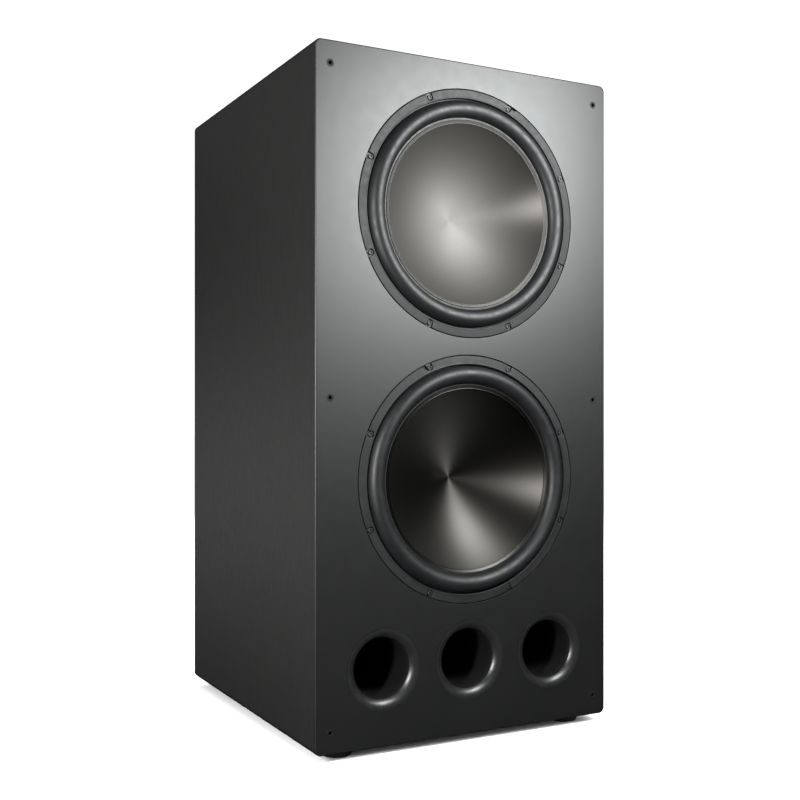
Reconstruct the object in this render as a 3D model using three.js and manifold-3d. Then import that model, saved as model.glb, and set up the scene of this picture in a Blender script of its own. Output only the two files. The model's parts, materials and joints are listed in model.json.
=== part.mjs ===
// A tall floor-standing subwoofer: two 460 mm drivers with dished metal cones above three flared
// ports in a rounded-corner MDF cabinet, with a plate amplifier in the rear panel.
// Millimetres. +Z is up, the front faces -Y, +X is to the right of someone facing the front.
// The origin is at floor level, in the middle of the whole object's footprint.
import * as THREE from "three";
import { mergeVertices } from "three/addons/utils/BufferGeometryUtils.js";
import Module from "manifold-3d";

// ---- Driving dimensions -------------------------------------------------------------------------
const WIDTH = 627; // cabinet, side to side
const HEIGHT = 1246; // cabinet, without its feet
const DEPTH = 678; // cabinet, front face to rear face
const WALL = 25; // MDF thickness of the sides, top, bottom and rear
const BAFFLE = 38; // doubled MDF of the front
const BRACE = 18; // plywood thickness of the inner braces
const CORNER_RADIUS = 12; // round-over of the four edges that run front to back
const FOOT_HEIGHT = 16;
const FOOT_RADIUS = 28;
const FOOT_INSET_SIDE = 64;
const FOOT_INSET_END = 52;
const GAP = 0.3; // glue line or clearance between curved neighbours

const FRAME_RADIUS = 230; // driver flange, an 18 inch frame
const REBATE_GAP = 1.5; // dark line round the driver
const REBATE_DEPTH = 9; // flange and gasket sink into the baffle by this much
const DRIVER_ABOVE_BASE = { lower: 473, upper: 966 }; // driver axes above the cabinet's base
const BOLT_CIRCLE = 223;
const BOLT_COUNT = 8;
const ROLL_CREST = 13; // the surround stands this far proud of the cabinet's front face

const PORT_ABOVE_BASE = 139;
const PORT_SPACING = 179.5;
const PORT_BORE = 53;
const PORT_FLARE = 19.5; // radius of the mouth's round-over
const PORT_WALL = 3.5;
const PORT_LENGTH = 460;

const SOCKET_INSET_SIDE = 29;
const SOCKETS_ABOVE_BASE = { bottom: 38.5, middle: 622.5, top: 1205.5 };

const PLATE_THICKNESS = 3; // amplifier's rear plate
const PLATE_WIDTH = 280;
const PLATE_HEIGHT = 400;
const PLATE_ABOVE_BASE = 450; // its middle
const SINK_HEIGHT = 27; // fins stand out from the plate by this much

const LARGE_ROUND = 28; // facets on driver-sized circles
const MEDIUM_ROUND = 20;
const SMALL_ROUND = 10;

// ---- Places that follow from them ----------------------------------------------------------------
const REAR_OVERHANG = PLATE_THICKNESS + SINK_HEIGHT;
const FRONT = -(DEPTH + REAR_OVERHANG - ROLL_CREST) / 2;
const REAR = FRONT + DEPTH;
const BASE = FOOT_HEIGHT;
const TOP = BASE + HEIGHT;
const INSIDE_X = WIDTH / 2 - WALL;
const INSIDE_FRONT = FRONT + BAFFLE;
const INSIDE_REAR = REAR - WALL;
const INSIDE_DEPTH = INSIDE_REAR - INSIDE_FRONT;
const FULL_TURN = 2 * Math.PI;

// ---- Materials -----------------------------------------------------------------------------------
function finish(color, roughness, metalness) {
  return new THREE.MeshStandardMaterial({ color, roughness, metalness });
}
const BAFFLE_PAINT = finish(0x2b2c2d, 0.38, 0.0);
const CABINET_VINYL = finish(0x2e2f2e, 0.55, 0.0);
const RAW_BOARD = finish(0x8a6b48, 0.85, 0.0);
const CAST_METAL = finish(0x1c1d1e, 0.5, 0.6);
const RUBBER = finish(0x17181a, 0.55, 0.0);
const SPUN_ALUMINIUM = finish(0x6b6761, 0.28, 1.0);
const SPIDER_CLOTH = finish(0x9a7a3a, 0.9, 0.0);
const COIL_COPPER = finish(0xa9683c, 0.4, 0.8);
const FERRITE = finish(0x3a3a3c, 0.75, 0.1);
const PLATED_STEEL = finish(0x9b9c9e, 0.35, 0.9);
const BLACK_PLASTIC = finish(0x141516, 0.35, 0.0);
const BLACK_ALUMINIUM = finish(0x18191a, 0.45, 0.7);
const BOARD_GREEN = finish(0x1f4d33, 0.6, 0.0);
const WINDING_TAPE = finish(0xc9a44a, 0.5, 0.0);
const WHITE_WADDING = finish(0xd9d7d0, 0.95, 0.0);
const CABLE_SHEATH = finish(0x111112, 0.6, 0.0);
const LAMP_BLUE = finish(0x2f6fe0, 0.2, 0.0);
const NICKEL = finish(0xb9b6ae, 0.3, 1.0);

// ---- Helpers -------------------------------------------------------------------------------------
const wasm = await Module();
wasm.setup();

const object = new THREE.Group();

/** Adds one named sub-part to a group at a place. */
function add(group, name, geometry, material, x = 0, y = 0, z = 0) {
  const mesh = new THREE.Mesh(geometry, material);
  mesh.name = name;
  mesh.position.set(x, y, z);
  group.add(mesh);
  return mesh;
}

/** The manifold-3d solid of a closed three.js geometry. */
function solidOf(geometry) {
  const bare = geometry.index ? geometry.toNonIndexed() : geometry.clone();
  bare.deleteAttribute("normal");
  bare.deleteAttribute("uv");
  const merged = mergeVertices(bare, 1e-4);
  return new wasm.Manifold(
    new wasm.Mesh({
      numProp: 3,
      vertProperties: new Float32Array(merged.attributes.position.array),
      triVerts: new Uint32Array(merged.index.array),
    }),
  );
}

/** The three.js geometry of a manifold-3d solid. */
function geometryOf(solid) {
  const mesh = solid.getMesh();
  const geometry = new THREE.BufferGeometry();
  geometry.setAttribute("position", new THREE.BufferAttribute(new Float32Array(mesh.vertProperties), 3));
  geometry.setIndex(new THREE.BufferAttribute(new Uint32Array(mesh.triVerts), 1));
  geometry.computeVertexNormals();
  return geometry;
}

const cut = (geometry, ...tools) =>
  geometryOf(tools.reduce((solid, tool) => solid.subtract(solidOf(tool)), solidOf(geometry)));
const join = (geometry, ...others) =>
  geometryOf(others.reduce((solid, other) => solid.add(solidOf(other)), solidOf(geometry)));

/** A box given by its lowest and highest corner. */
function block([x0, y0, z0], [x1, y1, z1]) {
  const geometry = new THREE.BoxGeometry(x1 - x0, y1 - y0, z1 - z0);
  return geometry.translate((x0 + x1) / 2, (y0 + y1) / 2, (z0 + z1) / 2);
}

/** A solid of revolution about the Y axis. The outline is [radius, y] pairs in order round the section. */
function revolve(outline, facets) {
  const points = outline.map(([r, y]) => new THREE.Vector2(r, y));
  const touchesAxis = outline.some(([r]) => r === 0);
  if (THREE.ShapeUtils.isClockWise(points)) {
    points.reverse();
  }
  if (!touchesAxis) {
    points.push(points[0].clone());
    return new THREE.LatheGeometry(points, facets);
  }
  // Turns the list so that it starts and ends on the axis.
  while (!(points[0].x === 0 && points[points.length - 1].x === 0)) {
    points.push(points.shift());
  }
  return new THREE.LatheGeometry(points, facets);
}

/** A cylinder about the Y axis, from y0 to y1. */
function rod(radius, y0, y1, facets = SMALL_ROUND) {
  return new THREE.CylinderGeometry(radius, radius, y1 - y0, facets).translate(0, (y0 + y1) / 2, 0);
}

/** Extrudes a shape drawn in X and Z along Y, from y0 to y1. */
function slab(shape, y0, y1, curveSegments = 3) {
  const geometry = new THREE.ExtrudeGeometry(shape, { depth: y1 - y0, bevelEnabled: false, curveSegments });
  return geometry.rotateX(Math.PI / 2).translate(0, y1, 0);
}

/** A rectangle between two corners with its corners rounded. */
function roundedRectangle(x0, z0, x1, z1, radius) {
  const shape = new THREE.Shape();
  shape.moveTo(x0 + radius, z0);
  shape.lineTo(x1 - radius, z0);
  shape.absarc(x1 - radius, z0 + radius, radius, -Math.PI / 2, 0);
  shape.lineTo(x1, z1 - radius);
  shape.absarc(x1 - radius, z1 - radius, radius, 0, Math.PI / 2);
  shape.lineTo(x0 + radius, z1);
  shape.absarc(x0 + radius, z1 - radius, radius, Math.PI / 2, Math.PI);
  shape.lineTo(x0, z0 + radius);
  shape.absarc(x0 + radius, z0 + radius, radius, Math.PI, 1.5 * Math.PI);
  return shape;
}

/** Points on an arc, both ends included, as [radius, y] pairs for revolve(). */
function arc(centreR, centreY, radius, from, to, steps) {
  const points = [];
  for (let i = 0; i <= steps; i += 1) {
    const angle = from + ((to - from) * i) / steps;
    points.push([centreR + radius * Math.cos(angle), centreY + radius * Math.sin(angle)]);
  }
  return points;
}

/** A round tube of constant radius along a smooth curve through points. */
function tube(points, radius, steps, sides = 6) {
  const curve = new THREE.CatmullRomCurve3(points.map((p) => new THREE.Vector3(...p)));
  const section = new THREE.Shape();
  for (let i = 0; i < sides; i += 1) {
    const angle = (i / sides) * FULL_TURN;
    const [x, y] = [radius * Math.cos(angle), radius * Math.sin(angle)];
    if (i === 0) {
      section.moveTo(x, y);
    } else {
      section.lineTo(x, y);
    }
  }
  return new THREE.ExtrudeGeometry(section, { steps, bevelEnabled: false, extrudePath: curve });
}

const PORT_XS = { left: -PORT_SPACING, middle: 0, right: PORT_SPACING };
const SOCKET_XS = { left: -(WIDTH / 2 - SOCKET_INSET_SIDE), right: WIDTH / 2 - SOCKET_INSET_SIDE };

// ---- Cabinet -------------------------------------------------------------------------------------
const SOCKET_HOLE_RADIUS = 6;
const SOCKET_HOLE_DEPTH = 14;
const BASKET_HOLE_RADIUS = 207;
const PORT_HOLE_RADIUS = 61.5;
const MOUTH_RADIUS = PORT_BORE + PORT_FLARE;

/** The front: a doubled board, rebated for the driver flanges and the port mouths. */
function frontBaffle() {
  const tools = [];
  for (const height of Object.values(DRIVER_ABOVE_BASE)) {
    tools.push(rod(FRAME_RADIUS + REBATE_GAP, -1, REBATE_DEPTH, LARGE_ROUND).translate(0, 0, height));
    tools.push(rod(BASKET_HOLE_RADIUS, 0, BAFFLE + 1, LARGE_ROUND).translate(0, 0, height));
  }
  for (const x of Object.values(PORT_XS)) {
    tools.push(rod(MOUTH_RADIUS + GAP, -1, REBATE_DEPTH, MEDIUM_ROUND).translate(x, 0, PORT_ABOVE_BASE));
    tools.push(rod(PORT_HOLE_RADIUS, 0, BAFFLE + 1, MEDIUM_ROUND).translate(x, 0, PORT_ABOVE_BASE));
  }
  for (const x of Object.values(SOCKET_XS)) {
    for (const z of Object.values(SOCKETS_ABOVE_BASE)) {
      tools.push(rod(SOCKET_HOLE_RADIUS, -1, SOCKET_HOLE_DEPTH).translate(x, 0, z));
    }
  }
  const board = slab(roundedRectangle(-WIDTH / 2, 0, WIDTH / 2, HEIGHT, CORNER_RADIUS), 0, BAFFLE);
  return cut(board, ...tools);
}

/** One side, with its two outer long edges rounded. sign is -1 on the left and 1 on the right. */
function sidePanel(sign) {
  const shape = new THREE.Shape();
  const inner = sign * INSIDE_X;
  const outer = sign * (WIDTH / 2);
  const centre = outer - sign * CORNER_RADIUS;
  shape.moveTo(inner, 0);
  shape.lineTo(centre, 0);
  shape.absarc(centre, CORNER_RADIUS, CORNER_RADIUS, -Math.PI / 2, sign > 0 ? 0 : -Math.PI, sign < 0);
  shape.lineTo(outer, HEIGHT - CORNER_RADIUS);
  shape.absarc(centre, HEIGHT - CORNER_RADIUS, CORNER_RADIUS, sign > 0 ? 0 : Math.PI, Math.PI / 2, sign < 0);
  shape.lineTo(inner, HEIGHT);
  return slab(shape, 0, REAR - INSIDE_FRONT);
}

const CHASSIS_WIDTH = 240;
const CHASSIS_HEIGHT = 360;
const CHASSIS_CUTOUT_GAP = 4;

function rearPanel() {
  const height = HEIGHT - 2 * WALL;
  const board = block([-INSIDE_X, 0, 0], [INSIDE_X, WALL, height]);
  const middle = PLATE_ABOVE_BASE - WALL;
  const halfWidth = CHASSIS_WIDTH / 2 + CHASSIS_CUTOUT_GAP;
  const halfHeight = CHASSIS_HEIGHT / 2 + CHASSIS_CUTOUT_GAP;
  return cut(board, block([-halfWidth, -1, middle - halfHeight], [halfWidth, WALL + 1, middle + halfHeight]));
}

/** A horizontal brace, open in four windows between its ribs. */
const BRACE_RIB = 45;
function windowBrace() {
  const shape = new THREE.Shape();
  shape.moveTo(-INSIDE_X, 0);
  shape.lineTo(INSIDE_X, 0);
  shape.lineTo(INSIDE_X, INSIDE_DEPTH);
  shape.lineTo(-INSIDE_X, INSIDE_DEPTH);
  const windowWidth = INSIDE_X - 1.5 * BRACE_RIB;
  const windowDepth = (INSIDE_DEPTH - 3 * BRACE_RIB) / 2;
  for (const x of [-INSIDE_X + BRACE_RIB, BRACE_RIB / 2]) {
    for (const y of [BRACE_RIB, 2 * BRACE_RIB + windowDepth]) {
      shape.holes.push(roundedRectangle(x, y, x + windowWidth, y + windowDepth, 30));
    }
  }
  return new THREE.ExtrudeGeometry(shape, { depth: BRACE, bevelEnabled: false, curveSegments: 3 });
}

const MIDDLE_BRACE_ABOVE_BASE = 710.5;
const LOWER_BRACE_ABOVE_BASE = 222.5;
const PORT_OUTER_RADIUS = PORT_BORE + PORT_WALL;
const PORT_SUPPORT_Y = INSIDE_FRONT + (INSIDE_DEPTH - BRACE) / 2; // under the brace's middle rib

/** A board across the cabinet's foot that carries the far ends of the three port tubes. */
function portSupport() {
  const height = LOWER_BRACE_ABOVE_BASE - WALL;
  const board = block([-INSIDE_X, 0, 0], [INSIDE_X, BRACE, height]);
  const holes = Object.values(PORT_XS).map((x) =>
    rod(PORT_OUTER_RADIUS + 2 * GAP, -1, BRACE + 1, MEDIUM_ROUND).translate(x, 0, PORT_ABOVE_BASE - WALL),
  );
  return cut(board, ...holes);
}

function addCabinet() {
  const panelDepth = REAR - INSIDE_FRONT;
  const shelf = () => block([-INSIDE_X, 0, 0], [INSIDE_X, panelDepth, WALL]);
  add(object, "front_baffle", frontBaffle(), BAFFLE_PAINT, 0, FRONT, BASE);
  add(object, "left_side_panel", sidePanel(-1), CABINET_VINYL, 0, INSIDE_FRONT, BASE);
  add(object, "right_side_panel", sidePanel(1), CABINET_VINYL, 0, INSIDE_FRONT, BASE);
  add(object, "top_panel", shelf(), CABINET_VINYL, 0, INSIDE_FRONT, TOP - WALL);
  add(object, "bottom_panel", shelf(), CABINET_VINYL, 0, INSIDE_FRONT, BASE);
  add(object, "rear_panel", rearPanel(), CABINET_VINYL, 0, INSIDE_REAR, BASE + WALL);
  add(object, "middle_brace", windowBrace(), RAW_BOARD, 0, INSIDE_FRONT, BASE + MIDDLE_BRACE_ABOVE_BASE);
  add(object, "lower_brace", windowBrace(), RAW_BOARD, 0, INSIDE_FRONT, BASE + LOWER_BRACE_ABOVE_BASE);
  add(object, "port_support", portSupport(), RAW_BOARD, 0, PORT_SUPPORT_Y, BASE + WALL);
}

/** Round rubber feet with a bevelled lower edge. */
function addFeet() {
  const bevel = 3;
  const outline = [
    [0, 0],
    [FOOT_RADIUS - bevel, 0],
    [FOOT_RADIUS, bevel],
    [FOOT_RADIUS, FOOT_HEIGHT],
    [0, FOOT_HEIGHT],
  ];
  const sides = { left: -(WIDTH / 2 - FOOT_INSET_SIDE), right: WIDTH / 2 - FOOT_INSET_SIDE };
  const ends = { front: FRONT + FOOT_INSET_END, rear: REAR - FOOT_INSET_END };
  for (const [end, y] of Object.entries(ends)) {
    for (const [side, x] of Object.entries(sides)) {
      const foot = add(object, `${end}_${side}_foot`, revolve(outline, SMALL_ROUND), RUBBER, x, y, 0);
      foot.rotation.x = Math.PI / 2;
    }
  }
}

/** Push-in sockets that hold the pegs of a grille. */
function addGrilleSockets() {
  const flangeRadius = 7.5;
  const flange = 1;
  const outline = [
    [3.5, -flange],
    [flangeRadius, -flange],
    [flangeRadius, -GAP],
    [SOCKET_HOLE_RADIUS - GAP, -GAP],
    [SOCKET_HOLE_RADIUS - GAP, SOCKET_HOLE_DEPTH - 1],
    [0, SOCKET_HOLE_DEPTH - 1],
    [0, SOCKET_HOLE_DEPTH - 2.5],
    [3.5, SOCKET_HOLE_DEPTH - 2.5],
  ];
  for (const [side, x] of Object.entries(SOCKET_XS)) {
    for (const [level, z] of Object.entries(SOCKETS_ABOVE_BASE)) {
      const socket = revolve(outline, SMALL_ROUND);
      add(object, `${level}_${side}_grille_socket`, socket, BLACK_PLASTIC, x, FRONT, BASE + z);
    }
  }
}

/** Port tubes, each one moulding with a flared mouth that lies flush with the baffle. */
function addPorts() {
  const thin = PORT_FLARE - PORT_WALL;
  const outline = [
    ...arc(MOUTH_RADIUS, PORT_FLARE, PORT_FLARE, -Math.PI / 2, -Math.PI, 5),
    [PORT_BORE, PORT_LENGTH],
    [PORT_OUTER_RADIUS, PORT_LENGTH],
    ...arc(MOUTH_RADIUS, PORT_FLARE, thin, -Math.PI, -Math.PI / 2, 4),
  ];
  for (const [side, x] of Object.entries(PORT_XS)) {
    const port = revolve(outline, MEDIUM_ROUND);
    add(object, `${side}_port`, port, BLACK_PLASTIC, x, FRONT, BASE + PORT_ABOVE_BASE);
  }
}

// ---- Drivers -------------------------------------------------------------------------------------
// Each is drawn about its own axis with y = 0 at the cabinet's front face and y growing inwards.
const FLANGE_TOP = 3;
const FLANGE_INNER = 199;
const GASKET_TOP = -1;
const GASKET_INNER = 213;
const GASKET_OUTER = 228;
const NOTCH_RADIUS = 7;
const CONE_RADIUS = 174;
const CONE_RIM = 2.5;
const CONE_DEPTH = 77;
const CONE_SPHERE = (CONE_RADIUS ** 2 + CONE_DEPTH ** 2) / (2 * CONE_DEPTH);
const CONE_SKIN = 1.5;
const ROLL_OUTER = 205;
const ROLL_INNER = 178;
const SURROUND_SKIN = 2;
const COIL_INNER = 50.8;
const COIL_OUTER = 53.5;
const SPIDER_Y = 92;
const SPIDER_OUTER = 118;
const MOTOR_FRONT = 125;
const PLATE_OUTER = 96;
const PLATE_STEEL = 12;
const MAGNET_OUTER = 110;
const MAGNET_HEIGHT = 48;
const YOKE_THICKNESS = 15;
const SPOKE_COUNT = 8;
const SPOKE_WIDTH = 16;
const TERMINAL_X = 138; // the terminals stand on a lug to one side of the shelf
const TERMINAL_Y = SPIDER_Y + 16;

/** Turns a piece about the driver's axis by a share of a full turn. */
const turned = (geometry, share) => geometry.rotateY(share * FULL_TURN);

function basket() {
  const flange = revolve(
    [
      [FLANGE_INNER, FLANGE_TOP],
      [FRAME_RADIUS, FLANGE_TOP],
      [FRAME_RADIUS, REBATE_DEPTH],
      [FLANGE_INNER + 4, REBATE_DEPTH],
      [FLANGE_INNER + 4, REBATE_DEPTH + 9],
      [FLANGE_INNER, REBATE_DEPTH + 9],
    ],
    LARGE_ROUND,
  );
  const shelf = revolve(
    [
      [SPIDER_OUTER - 8, SPIDER_Y + 2],
      [SPIDER_OUTER + 12, SPIDER_Y + 2],
      [SPIDER_OUTER + 12, SPIDER_Y + 14],
      [PLATE_OUTER + 6, MOTOR_FRONT - GAP],
      [PLATE_OUTER - 26, MOTOR_FRONT - GAP],
      [PLATE_OUTER - 26, MOTOR_FRONT - 8],
      [SPIDER_OUTER - 8, SPIDER_Y + 12],
    ],
    LARGE_ROUND,
  );
  const spokeSection = new THREE.Shape();
  spokeSection.moveTo(FLANGE_INNER + 1, REBATE_DEPTH - 3);
  spokeSection.lineTo(FLANGE_INNER + 4, REBATE_DEPTH + 8);
  spokeSection.lineTo(SPIDER_OUTER + 12, SPIDER_Y + 13);
  spokeSection.lineTo(SPIDER_OUTER + 5, SPIDER_Y + 5);
  spokeSection.lineTo(SPIDER_OUTER + 8, SPIDER_Y - 4);
  const pieces = [shelf];
  for (let i = 0; i < SPOKE_COUNT; i += 1) {
    const spoke = new THREE.ExtrudeGeometry(spokeSection, { depth: SPOKE_WIDTH, bevelEnabled: false });
    spoke.translate(0, 0, -SPOKE_WIDTH / 2);
    pieces.push(turned(spoke, (i + 0.5) / SPOKE_COUNT));
  }
  pieces.push(block([TERMINAL_X - 20, SPIDER_Y + 3, -12], [TERMINAL_X + 10, TERMINAL_Y, 12]));
  return join(flange, ...pieces);
}

/** Rubber trim ring on the flange, notched round each mounting screw. */
function mountingGasket() {
  const ring = revolve(
    [
      [GASKET_INNER, GASKET_TOP + 1],
      [GASKET_INNER + 1, GASKET_TOP],
      [GASKET_OUTER, GASKET_TOP],
      [GASKET_OUTER, FLANGE_TOP],
      [GASKET_INNER, FLANGE_TOP],
    ],
    LARGE_ROUND,
  );
  const notches = [];
  for (let i = 0; i < BOLT_COUNT; i += 1) {
    const notch = join(
      rod(NOTCH_RADIUS, GASKET_TOP - 1, FLANGE_TOP + 1, SMALL_ROUND),
      block([0, GASKET_TOP - 1, -NOTCH_RADIUS], [NOTCH_RADIUS + 8, FLANGE_TOP + 1, NOTCH_RADIUS]),
    );
    notches.push(turned(notch.translate(BOLT_CIRCLE, 0, 0), (i + 0.5) / BOLT_COUNT));
  }
  return cut(ring, ...notches);
}

/** A tall half roll of rubber from the flange to the cone's rim, with a flat foot at each side. */
function surround() {
  const foot = FLANGE_TOP - GAP;
  const middle = (ROLL_OUTER + ROLL_INNER) / 2;
  const halfWidth = (ROLL_OUTER - ROLL_INNER) / 2;
  const height = foot + ROLL_CREST;
  const roll = (inset, steps) =>
    arc(0, 0, 1, 0, Math.PI, steps).map(([x, y]) => [
      middle + x * (halfWidth - inset),
      foot - inset - y * (height - 2 * inset),
    ]);
  const outer = roll(0, 6);
  outer[0][1] = foot - SURROUND_SKIN;
  outer[6][1] = foot - SURROUND_SKIN;
  const inner = roll(SURROUND_SKIN, 4).reverse();
  inner[0][1] = foot;
  inner[4][1] = foot;
  return revolve(
    [
      [GASKET_INNER - GAP, foot],
      [GASKET_INNER - GAP, foot - SURROUND_SKIN],
      ...outer,
      [CONE_RADIUS + GAP, foot - SURROUND_SKIN],
      [CONE_RADIUS + GAP, foot],
      ...inner,
    ],
    LARGE_ROUND,
  );
}

/** How far in the dish's face lies at a distance from its axis: the dish is part of a sphere. */
function dishAt(radius) {
  return CONE_RIM + CONE_DEPTH - CONE_SPHERE + Math.sqrt(CONE_SPHERE ** 2 - radius ** 2);
}

/** A one-piece spun dish that runs unbroken across its centre, with a small rolled rim. */
function cone() {
  const steps = 5;
  const radii = Array.from({ length: steps + 1 }, (_, i) => (CONE_RADIUS * i) / steps);
  const front = radii.map((radius) => [radius, dishAt(radius)]);
  const back = radii.map((radius) => [radius, dishAt(radius) + CONE_SKIN]).reverse();
  back[0][1] += 1;
  return revolve([...front, ...back], LARGE_ROUND);
}

/** Former tube with the winding round its far end. */
function voiceCoil() {
  const top = dishAt(COIL_INNER - 1) + CONE_SKIN + GAP;
  const former = COIL_INNER + 0.7;
  return revolve(
    [
      [COIL_INNER, top],
      [former, top],
      [former, 111],
      [COIL_OUTER, 111],
      [COIL_OUTER, 151],
      [former, 151],
      [former, 155],
      [COIL_INNER, 155],
    ],
    MEDIUM_ROUND,
  );
}

/** Corrugated cloth suspension between the former and the basket's shelf. */
function spider() {
  const waves = 2;
  const steps = 3 * waves;
  const start = COIL_INNER + 0.7 + GAP;
  const span = SPIDER_OUTER + 3 - start;
  const line = (offset) => {
    const points = [];
    for (let i = 0; i <= steps; i += 1) {
      const share = i / steps;
      const wave = share > 0.1 && share < 0.85 ? 3.5 * Math.sin(share * waves * FULL_TURN) : 0;
      points.push([start + share * span, SPIDER_Y + wave + offset]);
    }
    return points;
  };
  return revolve([...line(0), ...line(1.6).reverse()], MEDIUM_ROUND);
}

const ring = (inner, outer, y0, y1, facets = MEDIUM_ROUND) =>
  revolve(
    [
      [inner, y0],
      [outer, y0],
      [outer, y1],
      [inner, y1],
    ],
    facets,
  );

/** Back plate and vented pole in one forging. */
function yoke() {
  const plateFront = MOTOR_FRONT + PLATE_STEEL + MAGNET_HEIGHT;
  const pole = COIL_INNER - 1.3;
  const vent = 18;
  return revolve(
    [
      [vent, MOTOR_FRONT],
      [pole, MOTOR_FRONT],
      [pole, plateFront],
      [PLATE_OUTER, plateFront],
      [PLATE_OUTER, plateFront + YOKE_THICKNESS],
      [vent + 8, plateFront + YOKE_THICKNESS],
      [vent, plateFront + YOKE_THICKNESS - 8],
    ],
    MEDIUM_ROUND,
  );
}

function addDriver(name, aboveBase) {
  const driver = new THREE.Group();
  driver.position.set(0, FRONT, BASE + aboveBase);
  object.add(driver);
  const magnetFront = MOTOR_FRONT + PLATE_STEEL;
  add(driver, `${name}_basket`, basket(), CAST_METAL);
  add(driver, `${name}_mounting_gasket`, mountingGasket(), RUBBER);
  add(driver, `${name}_surround`, surround(), RUBBER);
  add(driver, `${name}_cone`, cone(), SPUN_ALUMINIUM);
  add(driver, `${name}_voice_coil`, voiceCoil(), COIL_COPPER);
  add(driver, `${name}_spider`, spider(), SPIDER_CLOTH);
  const plate = ring(COIL_OUTER + 1.5, PLATE_OUTER, MOTOR_FRONT, magnetFront);
  add(driver, `${name}_top_plate`, plate, PLATED_STEEL);
  const magnet = ring(64, MAGNET_OUTER, magnetFront, magnetFront + MAGNET_HEIGHT);
  add(driver, `${name}_magnet`, magnet, FERRITE);
  add(driver, `${name}_yoke`, yoke(), PLATED_STEEL);
}

// ---- Amplifier -----------------------------------------------------------------------------------
// Drawn in a group whose origin is the middle of the rear plate's inner face; y grows outwards.
const PLATE_OUTSIDE = PLATE_THICKNESS;
const CHASSIS_DEPTH = 85;
const CHASSIS_SHEET = 2;
const BOARD_Y = -30;
const KNOB_Z = -32;
const KNOB_XS = { gain: -80, crossover: -20, phase: 40 };
const KNOB_HOLE = 3.6;
const SWITCH_AT = [-20, -150];
const SWITCH_HALF = [10, 15];
const TOGGLE_AT = [96, -32];
const TOGGLE_HOLE = 6;
const RCA_AT = [-70, -90];
const RCA_BARREL = 4.2;
const RCA_STEP = 9.5;
const XLR_AT = [10, -90];
const XLR_RADIUS = 11.8;
const INLET_AT = [-84, -150];
const INLET_HALF = [14, 24];
const LAMP_AT = [96, -90];
const LAMP_HOLE = 3;
const SINK_HALF = [100, 85];
const SINK_MIDDLE = 90;

function amplifierPlate() {
  const shape = roundedRectangle(-PLATE_WIDTH / 2, -PLATE_HEIGHT / 2, PLATE_WIDTH / 2, PLATE_HEIGHT / 2, 8);
  const hole = (radius, [x, z]) => rod(radius, -1, PLATE_OUTSIDE + 1).translate(x, 0, z);
  const window = ([halfX, halfZ], [x, z]) =>
    block([x - halfX, -1, z - halfZ], [x + halfX, PLATE_OUTSIDE + 1, z + halfZ]);
  const grow = ([a, b]) => [a + GAP, b + GAP];
  return cut(
    slab(shape, 0, PLATE_OUTSIDE),
    ...Object.values(KNOB_XS).map((x) => hole(KNOB_HOLE, [x, KNOB_Z])),
    hole(TOGGLE_HOLE + GAP, TOGGLE_AT),
    hole(LAMP_HOLE + GAP, LAMP_AT),
    hole(XLR_RADIUS + GAP, XLR_AT),
    hole(RCA_BARREL + 2, [RCA_AT[0], RCA_AT[1] + RCA_STEP]),
    hole(RCA_BARREL + 2, [RCA_AT[0], RCA_AT[1] - RCA_STEP]),
    window(grow(SWITCH_HALF), SWITCH_AT),
    window(grow(INLET_HALF), INLET_AT),
  );
}

/** A comb of upright fins on a base plate. */
function heatSink() {
  const fins = 13;
  const base = 5;
  const finThickness = 3;
  const [halfX, halfZ] = SINK_HALF;
  const pitch = (2 * halfX - finThickness) / (fins - 1);
  const outline = new THREE.Shape();
  outline.moveTo(-halfX, 0);
  for (let i = 0; i < fins; i += 1) {
    const left = -halfX + i * pitch;
    outline.lineTo(left, i === 0 ? SINK_HEIGHT : base);
    outline.lineTo(left, SINK_HEIGHT);
    outline.lineTo(left + finThickness, SINK_HEIGHT);
    outline.lineTo(left + finThickness, i === fins - 1 ? 0 : base);
  }
  const comb = new THREE.ExtrudeGeometry(outline, { depth: 2 * halfZ, bevelEnabled: false });
  return comb.translate(0, 0, -halfZ);
}

/** A folded sheet tray behind the plate, open towards it, with a slot for the speaker leads. */
function chassis() {
  const [halfX, halfZ] = [CHASSIS_WIDTH / 2, CHASSIS_HEIGHT / 2];
  const s = CHASSIS_SHEET;
  return cut(
    block([-halfX, -CHASSIS_DEPTH, -halfZ], [halfX, -GAP, halfZ]),
    block([-halfX + s, -CHASSIS_DEPTH + s, -halfZ + s], [halfX - s, 1, halfZ - s]),
    block([20, -CHASSIS_DEPTH - 1, 80], [110, -CHASSIS_DEPTH + s + 1, 100]),
  );
}

/** The circuit board with its four tall capacitors, coils and power devices as one assembly. */
function circuitBoard() {
  const thickness = 2;
  const board = block([-110, BOARD_Y - thickness, -170], [110, BOARD_Y, 40]);
  const capacitor = (x, z) => rod(14, BOARD_Y - 34, BOARD_Y - 1, SMALL_ROUND).translate(x, 0, z);
  const parts = [capacitor(-80, -130), capacitor(-45, -130), capacitor(-80, -90), capacitor(-45, -90)];
  for (let i = 0; i < 4; i += 1) {
    parts.push(block([-90 + i * 45, BOARD_Y - 18, 20], [-74 + i * 45, BOARD_Y - 1, 26]));
  }
  return join(board, ...parts);
}

/** A toroidal mains transformer, its axis front to back. */
function transformer() {
  const outer = 62;
  const inner = 18;
  const height = 46;
  const bevel = 8;
  return revolve(
    [
      [inner, bevel],
      [inner + bevel, 0],
      [outer - bevel, 0],
      [outer, bevel],
      [outer, height - bevel],
      [outer - bevel, height],
      [inner + bevel, height],
      [inner, height - bevel],
    ],
    MEDIUM_ROUND,
  );
}

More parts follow.
